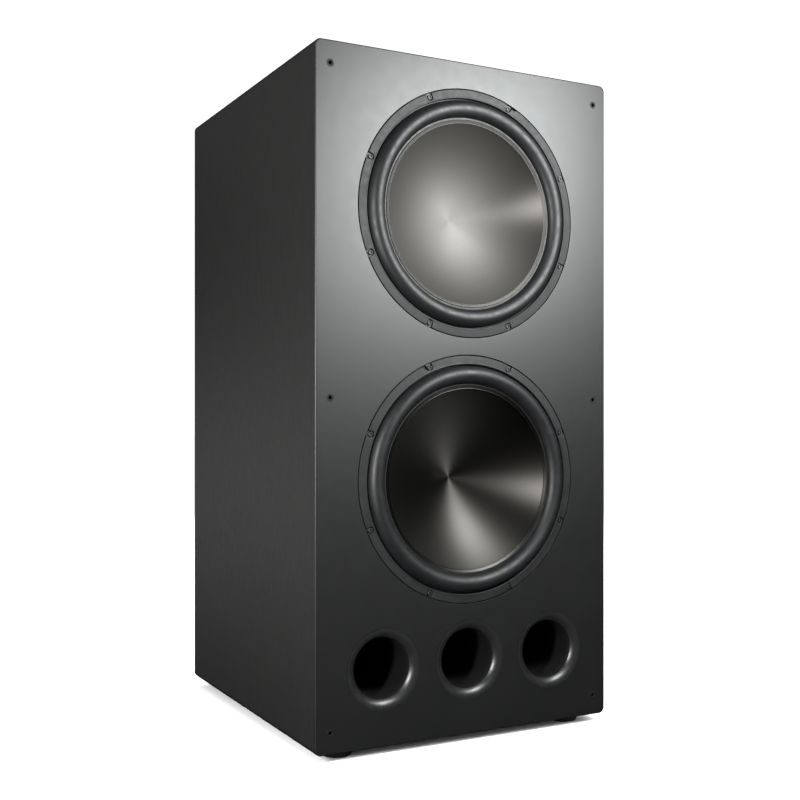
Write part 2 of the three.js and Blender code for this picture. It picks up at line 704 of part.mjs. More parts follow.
/** A control knob with a raised pointer, on a spindle that passes through the plate. */
function knob() {
  const body = revolve(
    [
      [0, -14],
      [3, -14],
      [3, PLATE_OUTSIDE + 1.5],
      [11, PLATE_OUTSIDE + 1.5],
      [11, PLATE_OUTSIDE + 5],
      [9, PLATE_OUTSIDE + 6],
      [8.5, PLATE_OUTSIDE + 17],
      [7.5, PLATE_OUTSIDE + 18],
      [0, PLATE_OUTSIDE + 18],
    ],
    18,
  );
  return join(body, block([-0.8, PLATE_OUTSIDE + 10, 2], [0.8, PLATE_OUTSIDE + 18.6, 8.6]));
}

const ROCKER_PIVOT_Y = PLATE_OUTSIDE + 1;
function switchHousing() {
  const [halfX, halfZ] = SWITCH_HALF;
  return cut(
    join(
      block([-halfX, -18, -halfZ], [halfX, PLATE_OUTSIDE + 1, halfZ]),
      block([-halfX - 2, PLATE_OUTSIDE + GAP, -halfZ - 2], [halfX + 2, PLATE_OUTSIDE + 2, halfZ + 2]),
    ),
    block([-halfX + 2.5, -10, -halfZ + 2.2], [halfX - 2.5, PLATE_OUTSIDE + 3, halfZ - 2.2]),
  );
}

/** A see-saw button, drawn level about its own pivot. */
function rocker() {
  const side = new THREE.Shape();
  side.moveTo(-9, -5);
  side.lineTo(9, -5);
  side.lineTo(11, 4.5);
  side.lineTo(0, 2.5);
  side.lineTo(-11, 4.5);
  const width = 14;
  const geometry = new THREE.ExtrudeGeometry(side, { depth: width, bevelEnabled: false });
  // The side is drawn in Z (across) and Y (up), and pulled along X.
  geometry.translate(0, 0, -width / 2);
  geometry.rotateY(-Math.PI / 2);
  return geometry;
}

const TOGGLE_BORE = 4.4;
function toggleBushing() {
  return revolve(
    [
      [TOGGLE_BORE, 12],
      [TOGGLE_HOLE, 12],
      [TOGGLE_HOLE, PLATE_OUTSIDE + 3],
      [TOGGLE_HOLE + 3, PLATE_OUTSIDE + 3],
      [TOGGLE_HOLE + 3, PLATE_OUTSIDE + GAP],
      [TOGGLE_HOLE, PLATE_OUTSIDE + GAP],
      [TOGGLE_HOLE, -14],
      [0, -14],
      [0, -8],
      [TOGGLE_BORE, -8],
    ],
    SMALL_ROUND,
  );
}

function toggleLever() {
  return revolve(
    [
      [0, -3],
      [2.6, -1.5],
      [2.6, 1.5],
      [1.5, 3],
      [2.4, 22],
      [1.6, 24.5],
      [0, 25],
    ],
    SMALL_ROUND,
  );
}

/** A twin phono jack: two barrels on one moulded base behind the plate. */
function rcaPair() {
  const barrel = (z) => rod(RCA_BARREL, -5, PLATE_OUTSIDE + 9).translate(0, 0, z);
  const bore = (z) => rod(1.6, 1, PLATE_OUTSIDE + 10, 8).translate(0, 0, z);
  return cut(
    join(block([-9, -16, -19], [9, -GAP, 19]), barrel(RCA_STEP), barrel(-RCA_STEP)),
    bore(RCA_STEP),
    bore(-RCA_STEP),
  );
}

/** A three-pin microphone-type input with a square-cornered flange. */
function xlrInput() {
  const contacts = [90, 210, 330].map((degrees) => {
    const angle = (degrees * Math.PI) / 180;
    return rod(1.7, -8, PLATE_OUTSIDE + 3, 6).translate(5 * Math.cos(angle), 0, 5 * Math.sin(angle));
  });
  return cut(
    join(
      rod(XLR_RADIUS, -22, PLATE_OUTSIDE + 1),
      block([-13, PLATE_OUTSIDE + GAP, -15.5], [13, PLATE_OUTSIDE + 2.5, 15.5]),
    ),
    ...contacts,
  );
}

// The appliance inlet is 28 by 48 mm through the plate, with a fuse drawer under its socket.
const SOCKET_MIDDLE_Z = 8;
const DRAWER_MIDDLE_Z = -14.5;
const INLET_FACE = PLATE_OUTSIDE + 2.5;
function mainsInlet() {
  const [halfX, halfZ] = INLET_HALF;
  const floor = INLET_FACE - 16;
  const housing = join(
    block([-halfX, -22, -halfZ], [halfX, PLATE_OUTSIDE + 1, halfZ]),
    block([-halfX - 2.5, PLATE_OUTSIDE + GAP, -halfZ - 2.5], [halfX + 2.5, INLET_FACE, halfZ + 2.5]),
  );
  const hollow = cut(
    housing,
    block([-12.2, floor, SOCKET_MIDDLE_Z - 8.2], [12.2, INLET_FACE + 1, SOCKET_MIDDLE_Z + 8.2]),
    block([-11, -18, DRAWER_MIDDLE_Z - 5], [11, INLET_FACE + 1, DRAWER_MIDDLE_Z + 5]),
  );
  const pin = (x, z) =>
    block([x - 1, floor - 1, SOCKET_MIDDLE_Z + z - 2], [x + 1, INLET_FACE - 3, SOCKET_MIDDLE_Z + z + 2]);
  return join(hollow, pin(-7, -2), pin(7, -2), pin(0, 2));
}

function fuseDrawer() {
  return join(
    block([-10.5, -17, -4.5], [10.5, INLET_FACE + 0.5, 4.5]),
    block([-5, INLET_FACE, -4.5], [5, INLET_FACE + 2, -2.5]),
  );
}

function statusLamp() {
  return revolve(
    [
      [0, -6],
      [LAMP_HOLE, -6],
      [LAMP_HOLE, PLATE_OUTSIDE + GAP],
      [LAMP_HOLE + 1, PLATE_OUTSIDE + GAP],
      [LAMP_HOLE + 1, PLATE_OUTSIDE + 1],
      [LAMP_HOLE - 0.5, PLATE_OUTSIDE + 1.5],
      [1.5, PLATE_OUTSIDE + 3],
      [0, PLATE_OUTSIDE + 3.3],
    ],
    SMALL_ROUND,
  );
}

const ROCKER_REST_TILT = (9 * Math.PI) / 180;
function addAmplifier() {
  const amp = new THREE.Group();
  amp.position.set(0, REAR, BASE + PLATE_ABOVE_BASE);
  object.add(amp);
  add(amp, "amp_plate", amplifierPlate(), BLACK_ALUMINIUM);
  add(amp, "amp_heat_sink", heatSink(), BLACK_ALUMINIUM, 0, PLATE_OUTSIDE, SINK_MIDDLE);
  add(amp, "amp_chassis", chassis(), PLATED_STEEL);
  add(amp, "amp_circuit_board", circuitBoard(), BOARD_GREEN);
  add(amp, "amp_transformer", transformer(), WINDING_TAPE, -40, -CHASSIS_DEPTH + CHASSIS_SHEET + GAP, 100);
  for (const [name, x] of Object.entries(KNOB_XS)) {
    add(amp, `${name}_knob`, knob(), BLACK_PLASTIC, x, 0, KNOB_Z);
  }
  add(amp, "power_switch_housing", switchHousing(), BLACK_PLASTIC, SWITCH_AT[0], 0, SWITCH_AT[1]);
  const [switchX, switchZ] = SWITCH_AT;
  const button = add(amp, "power_rocker", rocker(), BLACK_PLASTIC, switchX, ROCKER_PIVOT_Y, switchZ);
  button.rotation.x = ROCKER_REST_TILT;
  add(amp, "mode_switch_bushing", toggleBushing(), NICKEL, TOGGLE_AT[0], 0, TOGGLE_AT[1]);
  add(amp, "mode_switch_lever", toggleLever(), NICKEL, TOGGLE_AT[0], PLATE_OUTSIDE, TOGGLE_AT[1]);
  add(amp, "rca_jack_pair", rcaPair(), NICKEL, RCA_AT[0], 0, RCA_AT[1]);
  add(amp, "xlr_input", xlrInput(), BLACK_PLASTIC, XLR_AT[0], 0, XLR_AT[1]);
  add(amp, "mains_inlet", mainsInlet(), BLACK_PLASTIC, INLET_AT[0], 0, INLET_AT[1]);
  add(amp, "fuse_drawer", fuseDrawer(), BLACK_PLASTIC, INLET_AT[0], 0, INLET_AT[1] + DRAWER_MIDDLE_Z);
  add(amp, "status_lamp", statusLamp(), LAMP_BLUE, LAMP_AT[0], 0, LAMP_AT[1]);
}

// ---- Inside the cabinet --------------------------------------------------------------------------
const LEAD_RADIUS = 3.5;

/** Two-core leads from the slot in the amplifier's tray to the terminals on each basket. */
function addSpeakerLeads() {
  const trayFront = REAR - CHASSIS_DEPTH;
  const slotZ = BASE + PLATE_ABOVE_BASE + 90;
  const terminalY = FRONT + TERMINAL_Y + GAP;
  const terminalX = TERMINAL_X;
  const lowerZ = BASE + DRIVER_ABOVE_BASE.lower;
  const upperZ = BASE + DRIVER_ABOVE_BASE.upper;
  const start = (x) => [
    [x, trayFront - 2, slotZ],
    [x, trayFront - 40, slotZ],
  ];
  const end = (z) => [
    [terminalX, terminalY + 90, z],
    [terminalX, terminalY + 40, z],
    [terminalX, terminalY, z],
  ];
  const lower = [
    ...start(90),
    [120, trayFront - 150, slotZ - 40],
    [terminalX, trayFront - 260, lowerZ],
    ...end(lowerZ),
  ];
  const upper = [
    ...start(50),
    [70, trayFront - 90, slotZ + 50],
    [90, trayFront - 110, slotZ + 170],
    [110, trayFront - 130, slotZ + 300],
    [125, trayFront - 200, upperZ - 60],
    [terminalX, trayFront - 280, upperZ],
    ...end(upperZ),
  ];
  add(object, "lower_speaker_lead", tube(lower, LEAD_RADIUS, 20), CABLE_SHEATH);
  add(object, "upper_speaker_lead", tube(upper, LEAD_RADIUS, 28), CABLE_SHEATH);
}

/** A pad of absorbent wadding on the rear wall, in the chamber above the middle brace. */
const WADDING = { halfWidth: 235, height: 410, thickness: 45, aboveBase: 780 };
function addWadding() {
  const { halfWidth, height, thickness, aboveBase } = WADDING;
  const pad = slab(roundedRectangle(-halfWidth, 0, halfWidth, height, 30), 0, thickness);
  add(object, "wadding", pad, WHITE_WADDING, 0, INSIDE_REAR - thickness, BASE + aboveBase);
}

addCabinet();
addFeet();
addGrilleSockets();
addPorts();
addDriver("upper", DRIVER_ABOVE_BASE.upper);
addDriver("lower", DRIVER_ABOVE_BASE.lower);
addAmplifier();
addSpeakerLeads();
addWadding();

export default object;
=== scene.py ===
"""A tall floor-standing subwoofer in a white studio: fine meshes, materials, light and camera."""
import json
import math

import bmesh
import bpy
from mathutils import Matrix, Vector


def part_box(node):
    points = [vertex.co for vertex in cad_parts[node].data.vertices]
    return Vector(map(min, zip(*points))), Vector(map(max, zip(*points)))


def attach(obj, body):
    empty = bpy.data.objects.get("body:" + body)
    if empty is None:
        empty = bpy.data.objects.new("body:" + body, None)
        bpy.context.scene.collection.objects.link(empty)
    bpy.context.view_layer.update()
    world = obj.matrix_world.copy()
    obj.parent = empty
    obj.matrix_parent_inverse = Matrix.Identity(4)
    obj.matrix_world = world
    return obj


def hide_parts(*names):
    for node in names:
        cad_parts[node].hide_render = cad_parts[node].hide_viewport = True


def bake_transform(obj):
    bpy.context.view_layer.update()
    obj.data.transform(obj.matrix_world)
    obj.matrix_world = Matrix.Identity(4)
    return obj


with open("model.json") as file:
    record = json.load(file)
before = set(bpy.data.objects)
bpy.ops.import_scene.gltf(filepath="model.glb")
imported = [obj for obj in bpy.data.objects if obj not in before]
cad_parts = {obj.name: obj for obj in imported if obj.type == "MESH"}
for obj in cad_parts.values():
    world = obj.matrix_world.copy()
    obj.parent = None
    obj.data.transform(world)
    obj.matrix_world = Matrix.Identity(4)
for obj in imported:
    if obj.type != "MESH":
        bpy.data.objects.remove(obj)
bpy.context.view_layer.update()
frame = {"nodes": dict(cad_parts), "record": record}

# ---- Places and sizes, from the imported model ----
MM = 0.001
TURN = 2 * math.pi
QUARTER = math.pi / 2
FINE = 144  # points round a driver-sized circle
MEDIUM = 72
SMALL = 32

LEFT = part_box("front_baffle")[0].x
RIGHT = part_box("front_baffle")[1].x
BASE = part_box("front_baffle")[0].z
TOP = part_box("front_baffle")[1].z
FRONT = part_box("front_baffle")[0].y
BAFFLE_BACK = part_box("front_baffle")[1].y
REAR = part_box("rear_panel")[1].y
INSIDE_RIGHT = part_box("top_panel")[1].x
INSIDE_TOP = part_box("top_panel")[0].z
INSIDE_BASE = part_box("bottom_panel")[1].z
CORNER_RADIUS = 12 * MM
FRONT_ROUND = 2.5 * MM  # the front edge of the baffle is eased by this much
REAR_ROUND = 1.5 * MM

DRIVERS = ("upper", "lower")
SIDES = ("left", "right")
PORTS = ("left", "middle", "right")
GRILLE_SOCKETS = [f"{level}_{side}_grille_socket" for side in SIDES for level in ("bottom", "middle", "top")]


def middle(node):
    """The middle of a CAD node's box."""
    low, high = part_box(node)
    return (low + high) / 2


def on_front(node):
    """The point on the front face, level with the middle of a CAD node."""
    place = middle(node)
    return Vector((place.x, FRONT, place.z))


# ---- Mesh helpers ----
def circle(x, z, radius, count):
    """A circle as a list of (x, z), in metres."""
    return [
        (x + radius * math.cos(TURN * i / count), z + radius * math.sin(TURN * i / count))
        for i in range(count)
    ]


def quarter_circle(x, z, radius, quarter, steps=8):
    """Points on one quarter of a circle, anticlockwise. Quarter 0 is the upper right one."""
    angles = [QUARTER * (quarter + i / steps) for i in range(steps + 1)]
    return [(x + radius * math.cos(angle), z + radius * math.sin(angle)) for angle in angles]


def rounded_rectangle(x0, z0, x1, z1, radius, steps=8):
    """A rectangle with round corners, as a list of (x, z) that runs anticlockwise."""
    corners = ((x1 - radius, z1 - radius), (x0 + radius, z1 - radius),
               (x0 + radius, z0 + radius), (x1 - radius, z0 + radius))
    points = []
    for quarter, (x, z) in enumerate(corners):
        points += quarter_circle(x, z, radius, quarter, steps)
    return points


def grown(points, distance):
    """An anticlockwise outline moved outwards by a small distance."""
    result = []
    for i, (x, z) in enumerate(points):
        before, after = Vector(points[i - 1]), Vector(points[(i + 1) % len(points)])
        here = Vector((x, z))
        first = (here - before).normalized()
        second = (after - here).normalized()
        normal = Vector((first.y + second.y, -first.x - second.x))
        normal.normalize()
        stretch = max(0.5, normal.dot(Vector((first.y, -first.x))))
        result.append((x + normal.x * distance / stretch, z + normal.y * distance / stretch))
    return result


def eased(radius, depth, steps=4):
    """A rounded edge that faces the front, as [(inset, depth)] from the face inwards."""
    angles = [QUARTER * i / steps for i in range(steps + 1)]
    return [(radius * (1 - math.sin(angle)), depth + radius * (1 - math.cos(angle))) for angle in angles]


def eased_back(radius, depth, steps=4):
    """The same for an edge that faces the rear, from the wall to the rear face."""
    return [(inset, 2 * depth - y) for inset, y in reversed(eased(radius, depth, steps))]


def rings_of(bm, outline, profile, sign):
    """A ring of vertices for each (inset, depth) of a profile. sign is -1 on an outer wall, 1 on a hole."""
    rings = []
    for inset, y in profile:
        points = grown(outline, sign * inset) if abs(inset) > 1e-9 else outline
        rings.append([bm.verts.new((x, y, z)) for x, z in points])
    return rings


def join_rings(bm, rings, around=True):
    """Quads between successive rings. A ring of one vertex is a pole."""
    for near, far in zip(rings, rings[1:]):
        count = max(len(near), len(far))
        for i in range(count if around else count - 1):
            j = (i + 1) % count
            corners = [near[i % len(near)], near[j % len(near)], far[j % len(far)], far[i % len(far)]]
            corners = list(dict.fromkeys(corners))
            if len(corners) > 2:
                bm.faces.new(corners)


def edges_of(bm, ring):
    """The edges round a ring, made where they are missing."""
    found = []
    for i, vertex in enumerate(ring):
        after = ring[(i + 1) % len(ring)]
        found.append(bm.edges.get((vertex, after)) or bm.edges.new((vertex, after)))
    return found


def board(outline, profile, holes=()):
    """A flat board: its outer wall follows profile, [(inset, depth)] from front to rear.
    Each hole is (outline, profile, goes_through)."""
    bm = bmesh.new()
    rings = rings_of(bm, outline, profile, -1)
    join_rings(bm, rings)
    near, far = edges_of(bm, rings[0]), edges_of(bm, rings[-1])
    for hole, hole_profile, goes_through in holes:
        hole_rings = rings_of(bm, hole, hole_profile, 1)
        join_rings(bm, hole_rings)
        near += edges_of(bm, hole_rings[0])
        if goes_through:
            far += edges_of(bm, hole_rings[-1])
        else:
            bm.faces.new(hole_rings[-1])
    for rim in (near, far):
        bmesh.ops.triangle_fill(bm, edges=rim, use_beauty=True)
    return bm


def turned(outline, centre, count=MEDIUM, axis="y"):
    """A solid of revolution. The outline is a closed list of (radius, along) in millimetres."""
    bm = bmesh.new()
    rings = []
    for radius, along in outline:
        steps = count if radius > 1e-6 else 1
        ring = []
        for i in range(steps):
            across = radius * math.cos(TURN * i / count)
            up = radius * math.sin(TURN * i / count)
            place = (across, along, up) if axis == "y" else (across, up, along)
            ring.append(bm.verts.new(centre + MM * Vector(place)))
        rings.append(ring)
    if len(rings[0]) > 1 or len(rings[-1]) > 1:
        rings.append(rings[0])
    join_rings(bm, rings)
    return bm


def arc(r, y, radius, start, end, steps):
    """Points on an arc for turned(), angles in degrees from the outward direction."""
    points = []
    for i in range(steps + 1):
        angle = math.radians(start + (end - start) * i / steps)
        points.append((r + radius * math.cos(angle), y + radius * math.sin(angle)))
    return points


def around(angle):
    """The direction at an angle about an axis that runs front to rear."""
    return Vector((math.cos(angle), 0, math.sin(angle)))


def ease_edges(bm, size):
    bmesh.ops.bevel(bm, geom=bm.edges[:], offset=size, segments=2, affect="EDGES", profile=0.5)


def box(low, high, edge=0.0):
    """A block with all its edges eased."""
    bm = bmesh.new()
    bmesh.ops.create_cube(bm, size=1.0)
    low, high = Vector(low), Vector(high)
    for vertex in bm.verts:
        vertex.co = low + (vertex.co + Vector((0.5, 0.5, 0.5))) * (high - low)
    if edge:
        ease_edges(bm, edge)
    return bm


def mesh_from(name, bm):
    mesh = bpy.data.meshes.new(name)
    bm.to_mesh(mesh)
    bm.free()
    return mesh


def placed(name, data):
    """A new object in the scene."""
    made = bpy.data.objects.new(name, data)
    bpy.context.scene.collection.objects.link(made)
    return made


def merged(*parts):
    """Several meshes as one."""
    whole = bmesh.new()
    for part in parts:
        scratch = mesh_from("scratch", part)
        whole.from_mesh(scratch)
        bpy.data.meshes.remove(scratch)
    return whole


def combined(name, operation, parts):
    """One closed skin from overlapping closed meshes: the later ones are added to the first or cut out."""
    objects = []
    for i, part in enumerate(parts):
        bmesh.ops.recalc_face_normals(part, faces=part.faces)
        objects.append(placed(f"{name}_{i}", mesh_from(f"{name}_{i}", part)))
    for other in objects[1:]:
        change = objects[0].modifiers.new("change", "BOOLEAN")
        change.operation = operation
        change.solver = "EXACT"
        change.object = other
    result = bmesh.new()
    result.from_object(objects[0], bpy.context.evaluated_depsgraph_get())
    for piece in objects:
        mesh = piece.data
        bpy.data.objects.remove(piece)
        bpy.data.meshes.remove(mesh)
    return result


def add(name, bm, slot, material=None, body="cabinet", replaces=(), sharp=35):
    """Turns a mesh into a piece of the object, in its slot's material unless it is given another.
    With no body it is left for blend_radially()."""
    bmesh.ops.recalc_face_normals(bm, faces=bm.faces)
    mesh = mesh_from(name, bm)
    mesh.shade_smooth()
    mesh.set_sharp_from_angle(angle=math.radians(sharp))
    mesh.materials.append(material or MATERIALS[slot])
    piece = placed(name, mesh)
    shading = piece.modifiers.new("shading", "WEIGHTED_NORMAL")
    shading.keep_sharp = True
    if replaces:
        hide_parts(*replaces)
    if body:
        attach(piece, body)
    return piece


def blend_radially(piece, centre):
    places = [vertex.co.copy() for vertex in piece.data.vertices]
    for vertex, place in zip(piece.data.vertices, places):
        vertex.co = (math.hypot(place.x - centre.x, place.z - centre.z), 0, 0)
    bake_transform(piece)
    for vertex, place in zip(piece.data.vertices, places):
        vertex.co = place


# ---- Material helpers ----
def new_material(name, color, roughness, **sockets):
    """A material whose constant values sit on the shader's own sockets."""
    material = bpy.data.materials.new(name)
    material.use_nodes = True
    shader = material.node_tree.nodes["Principled BSDF"]
    shader.inputs["Base Color"].default_value = (*color, 1.0)
    shader.inputs["Roughness"].default_value = roughness
    for socket, value in sockets.items():
        shader.inputs[socket.replace("_", " ")].default_value = value
    return material


def plug(material, value, socket):
    """Links a value to one of the shader's sockets."""
    shader = material.node_tree.nodes["Principled BSDF"]
    material.node_tree.links.new(value, shader.inputs[socket])


def new_node(material, kind, inputs=(), **properties):
    """A node with its properties set, and its inputs linked or set. inputs is [(name, socket or value)]."""
    made = material.node_tree.nodes.new(kind)
    for key, value in properties.items():
        setattr(made, key, value)
    for key, value in inputs:
        if isinstance(value, bpy.types.NodeSocket):
            material.node_tree.links.new(value, made.inputs[key])
        else:
            made.inputs[key].default_value = value
    return made


def place_of(material):
    """The point on the object, in metres."""
    return new_node(material, "ShaderNodeTexCoord").outputs["Object"]


def noise_of(material, scale, detail, stretch=(1, 1, 1), rough=0.55):
    """Noise with about scale lumps a metre, stretched along the axes where stretch is small."""
    scaled = new_node(material, "ShaderNodeMapping", [("Vector", place_of(material)), ("Scale", stretch)])
    return new_node(
        material, "ShaderNodeTexNoise",
        [("Vector", scaled.outputs["Vector"]), ("Scale", scale), ("Detail", detail), ("Roughness", rough)],
    ).outputs["Fac"]


def wave_of(material, scale, direction, distortion=0.0):
    """Bands across an axis of the object."""
    return new_node(
        material, "ShaderNodeTexWave",
        [("Vector", place_of(material)), ("Scale", scale), ("Distortion", distortion)],
        bands_direction=direction,
    ).outputs["Fac"]


def mapped(material, source, low, high):
    """A noise moved to another range. Most of a noise lies between 0.3 and 0.7."""
    return new_node(
        material, "ShaderNodeMapRange",
        [("Value", source), ("From Min", 0.3), ("From Max", 0.7), ("To Min", low), ("To Max", high)],
    ).outputs["Result"]


def vary_roughness(material, source, low, high):
    plug(material, mapped(material, source, low, high), "Roughness")


def vary_color(material, source, color, dark, light):
    """The color runs between two shares of itself."""
    mix = new_node(material, "ShaderNodeMix", data_type="RGBA")
    material.node_tree.links.new(mapped(material, source, 0.0, 1.0), mix.inputs["Factor"])
    for place, share in ((6, dark), (7, light)):
        mix.inputs[place].default_value = (*[min(1.0, channel * share) for channel in color], 1.0)
    plug(material, mix.outputs[2], "Base Color")


def add_bump(material, height, distance):
    values = [("Height", height), ("Distance", distance), ("Strength", 1.0)]
    plug(material, new_node(material, "ShaderNodeBump", values).outputs["Normal"], "Normal")


def grained(name, color, roughness, tone, relief, gloss=None, **sockets):
    """Uneven tone, height and gloss, each from its own noise. tone is (darkest, lightest, *noise) as shares
    of the color, relief is (depth, *noise), gloss is (lowest, highest, *noise) added to the roughness."""
    material = new_material(name, color, roughness, **sockets)
    dark, light, *noise = tone
    vary_color(material, noise_of(material, *noise), color, dark, light)
    depth, *noise = relief
    add_bump(material, noise_of(material, *noise), depth)
    if gloss:
        low, high, *noise = gloss
        vary_roughness(material, noise_of(material, *noise), roughness + low, roughness + high)
    return material


# ---- Materials ----
def satin_paint():
    """Sprayed satin black with a faint orange peel, on the baffle."""
    return grained("baffle_paint", (0.0029, 0.0029, 0.003), 0.45, tone=(0.9, 1.12, 9, 5),
                   relief=(0.00002, 900, 2), gloss=(-0.015, 0.015, 40, 4))


def textured_vinyl():
    """Charcoal vinyl with a faint upright grain, on the cabinet."""
    return grained("cabinet_vinyl", (0.0065, 0.0067, 0.0062), 0.5, tone=(0.84, 1.18, 140, 5, (1, 1, 0.12)),
                   relief=(0.00004, 1500, 3, (1, 1, 0.4)), gloss=(0.0, 0.08, 260, 4, (1, 1, 0.3)),
                   Specular_IOR_Level=0.33)


def bare_board():
    return grained("bare_board", (0.42, 0.29, 0.17), 0.85, tone=(0.75, 1.2, 90, 6, (1, 0.2, 1)),
                   relief=(0.0001, 1500, 3))


def moulded(name, color, roughness, texture=1800, depth=0.00003, **sockets):
    """Moulded plastic with a fine spark texture."""
    return grained(name, color, roughness, tone=(0.85, 1.18, 60, 4), relief=(depth, texture, 2),
                   gloss=(-0.03, 0.05, 150, 4), **sockets)


def rubber(name, color, roughness, shine=0.4):
    """Moulded rubber with a slight bloom."""
    return grained(name, color, roughness, tone=(0.8, 1.3, 35, 5), relief=(0.00003, 2400, 2),
                   gloss=(-0.05, 0.07, 90, 4), Specular_IOR_Level=shine)


def metal(name, color, roughness, grain=(1, 1, 1), scale=700):
    """Plated or sheet metal with a fine grain."""
    return grained(name, color, roughness, tone=(0.82, 1.1, 25, 5), relief=(0.00002, scale, 3, grain),
                   gloss=(-0.07, 0.1, scale, 4, grain), Metallic=1.0)


def coated(name, color, roughness):
    """Powder coat or anodising on metal, with a fine pebble."""
    return grained(name, color, roughness, tone=(0.85, 1.2, 50, 4), relief=(0.00005, 1400, 2),
                   gloss=(-0.05, 0.06, 200, 3))


def fibre(name, color):
    """Loose polyester wadding."""
    return grained(name, color, 0.95, tone=(0.7, 1.15, 60, 8), relief=(0.002, 300, 8, (1, 1, 1), 0.7))


def distance_from_axis(material, centre):
    """How far a point is from a driver's axis, in metres."""
    def changed(operation, point, *by):
        values = enumerate((point, *by))
        return new_node(material, "ShaderNodeVectorMath", values, operation=operation)

    moved = changed("SUBTRACT", place_of(material), (centre.x, 0.0, centre.z)).outputs[0]
    flat = changed("MULTIPLY", moved, (1.0, 0.0, 1.0)).outputs[0]
    return changed("LENGTH", flat).outputs["Value"]


def brushed_dish(name, centre, color):
    """Dark anodised aluminium brushed in circles about the driver's axis, so light shows as wedges."""
    material = new_material(name, color, 0.44, Metallic=1.0, Anisotropic=0.76, Anisotropic_Rotation=0.25)
    radius = distance_from_axis(material, centre)

    def rings(scale):
        return new_node(
            material, "ShaderNodeTexNoise",
            [("W", radius), ("Scale", scale), ("Detail", 4.0), ("Roughness", 0.7)], noise_dimensions="1D",
        ).outputs["Fac"]

    vary_color(material, rings(700.0), color, 0.9, 1.1)
    vary_roughness(material, rings(2600.0), 0.42, 0.465)
    tangent = new_node(material, "ShaderNodeTangent", direction_type="RADIAL", axis="Y")
    plug(material, tangent.outputs["Tangent"], "Tangent")
    return material


def cloth(name, color):
    """A plain weave of crossing threads."""
    material = new_material(name, color, 0.9)
    across, up = [wave_of(material, 900, direction, 0.6) for direction in "XZ"]
    weave = new_node(material, "ShaderNodeMath", [(0, across), (1, up)], operation="MULTIPLY").outputs[0]
    vary_color(material, noise_of(material, 120, 4), color, 0.7, 1.25)
    add_bump(material, weave, 0.0003)
    return material


def winding(name, color):
    """Enamelled wire wound in close turns along the driver's axis."""
    material = new_material(name, color, 0.3, Metallic=1.0)
    turns = wave_of(material, 900, "Y")
    # The colour darkens where the bump sinks between turns: painted shade in the grooves.
    vary_color(material, turns, color, 0.45, 1.0)
    add_bump(material, turns, 0.0003)
    return material


def lamp_lens():
    material = new_material("lamp_lens", (0.03, 0.14, 0.75), 0.12, Emission_Strength=1.2, Coat_Weight=0.5,
                            Emission_Color=(0.05, 0.25, 1.0, 1.0))
    vary_roughness(material, noise_of(material, 900, 2), 0.08, 0.16)
    return material


MATERIALS = {
    "baffle_paint": satin_paint(),
    "cabinet_finish": textured_vinyl(),
    "bare_board": bare_board(),
    "port_plastic": moulded("port_moulding", (0.006, 0.006, 0.0062), 0.36, texture=900, depth=0.000004),
    "foot_rubber": rubber("foot_rubber", (0.01, 0.01, 0.01), 0.6),
    "socket_plastic": moulded("socket_plastic", (0.003, 0.003, 0.003), 0.6, Specular_IOR_Level=0.25),
    "cast_frame": coated("frame_powder_coat", (0.004, 0.004, 0.0042), 0.55),
    "gasket_rubber": rubber("gasket_rubber", (0.006, 0.0061, 0.0063), 0.53, shine=0.27),
    "surround_rubber": rubber("surround_rubber", (0.0028, 0.003, 0.0034), 0.5, shine=0.33),
    # The two dishes are the same metal. The upper one is given a colour about a fifth lighter than the lower
    # one: painted light.
    "upper_cone_metal": brushed_dish("upper_dish_painted_lighter", on_front("upper_cone"), (0.0462, 0.0443, 0.0413)),
    "lower_cone_metal": brushed_dish("lower_dish_painted_darker", on_front("lower_cone"), (0.0375, 0.0360, 0.0335)),
    "coil_copper": winding("coil_winding", (0.72, 0.36, 0.17)),
    "spider_cloth": cloth("spider_cloth", (0.5, 0.33, 0.1)),
    "plated_steel": metal("zinc_plate", (0.56, 0.56, 0.55), 0.34),
    "ferrite": moulded("ferrite", (0.03, 0.03, 0.032), 0.7, texture=500, depth=0.0002),
    "cable_sheath": moulded("cable_sheath", (0.011, 0.011, 0.011), 0.5),
    "black_aluminium": coated("black_anodising", (0.013, 0.013, 0.0135), 0.42),
    "tray_steel": metal("tray_sheet", (0.6, 0.6, 0.61), 0.38, grain=(0.1, 1, 1)),
    "circuit_board": moulded("solder_mask", (0.012, 0.085, 0.035), 0.35, texture=400, depth=0.0001),
    "transformer_tape": moulded("transformer_tape", (0.5, 0.33, 0.07), 0.3, texture=200, depth=0.0003),
    "control_plastic": moulded("control_plastic", (0.012, 0.012, 0.0122), 0.42),
    "nickel": metal("nickel_plate", (0.68, 0.66, 0.61), 0.22, scale=300),
    "lamp": lamp_lens(),
    "wadding": fibre("wadding_fibre", (0.74, 0.73, 0.69)),
}
# Darker and duller than the port moulding, used on the inside of each port: painted shade in the bore.
THROAT_PAINTED_SHADE = moulded("throat_painted_shade", (0.0022, 0.0022, 0.0022), 0.8, Specular_IOR_Level=0.1)
PRINTED = moulded("printed_marks", (0.75, 0.75, 0.73), 0.6)
RED_INSERT = moulded("red_insert", (0.45, 0.015, 0.012), 0.35)
WHITE_INSERT = moulded("white_insert", (0.7, 0.7, 0.68), 0.35)


def dress_cad_nodes():
    """Every CAD node gets its slot's material, whether a finer piece later stands for it or not."""
    slots = {entry["node"]: entry["material_slot"] for entry in frame["record"]["subparts"]}
    for name, node in frame["nodes"].items():
        node.data.materials.clear()
        node.data.materials.append(MATERIALS[slots[name]])


# ---- Cabinet ----
REBATE = 9 * MM
REBATE_RADIUS = 231.3 * MM
FRAME_RADIUS = 230.6 * MM
BASKET_HOLE = 207 * MM
MOUTH_RADIUS = 72.5 * MM
MOUTH_GAP = 0.3 * MM
PORT_HOLE = 61.5 * MM
SOCKET_HOLE = 6 * MM
SOCKET_DEPTH = 14 * MM
WRAP = 1 * MM  # the cabinet's vinyl is carried forward over the edge of the baffle


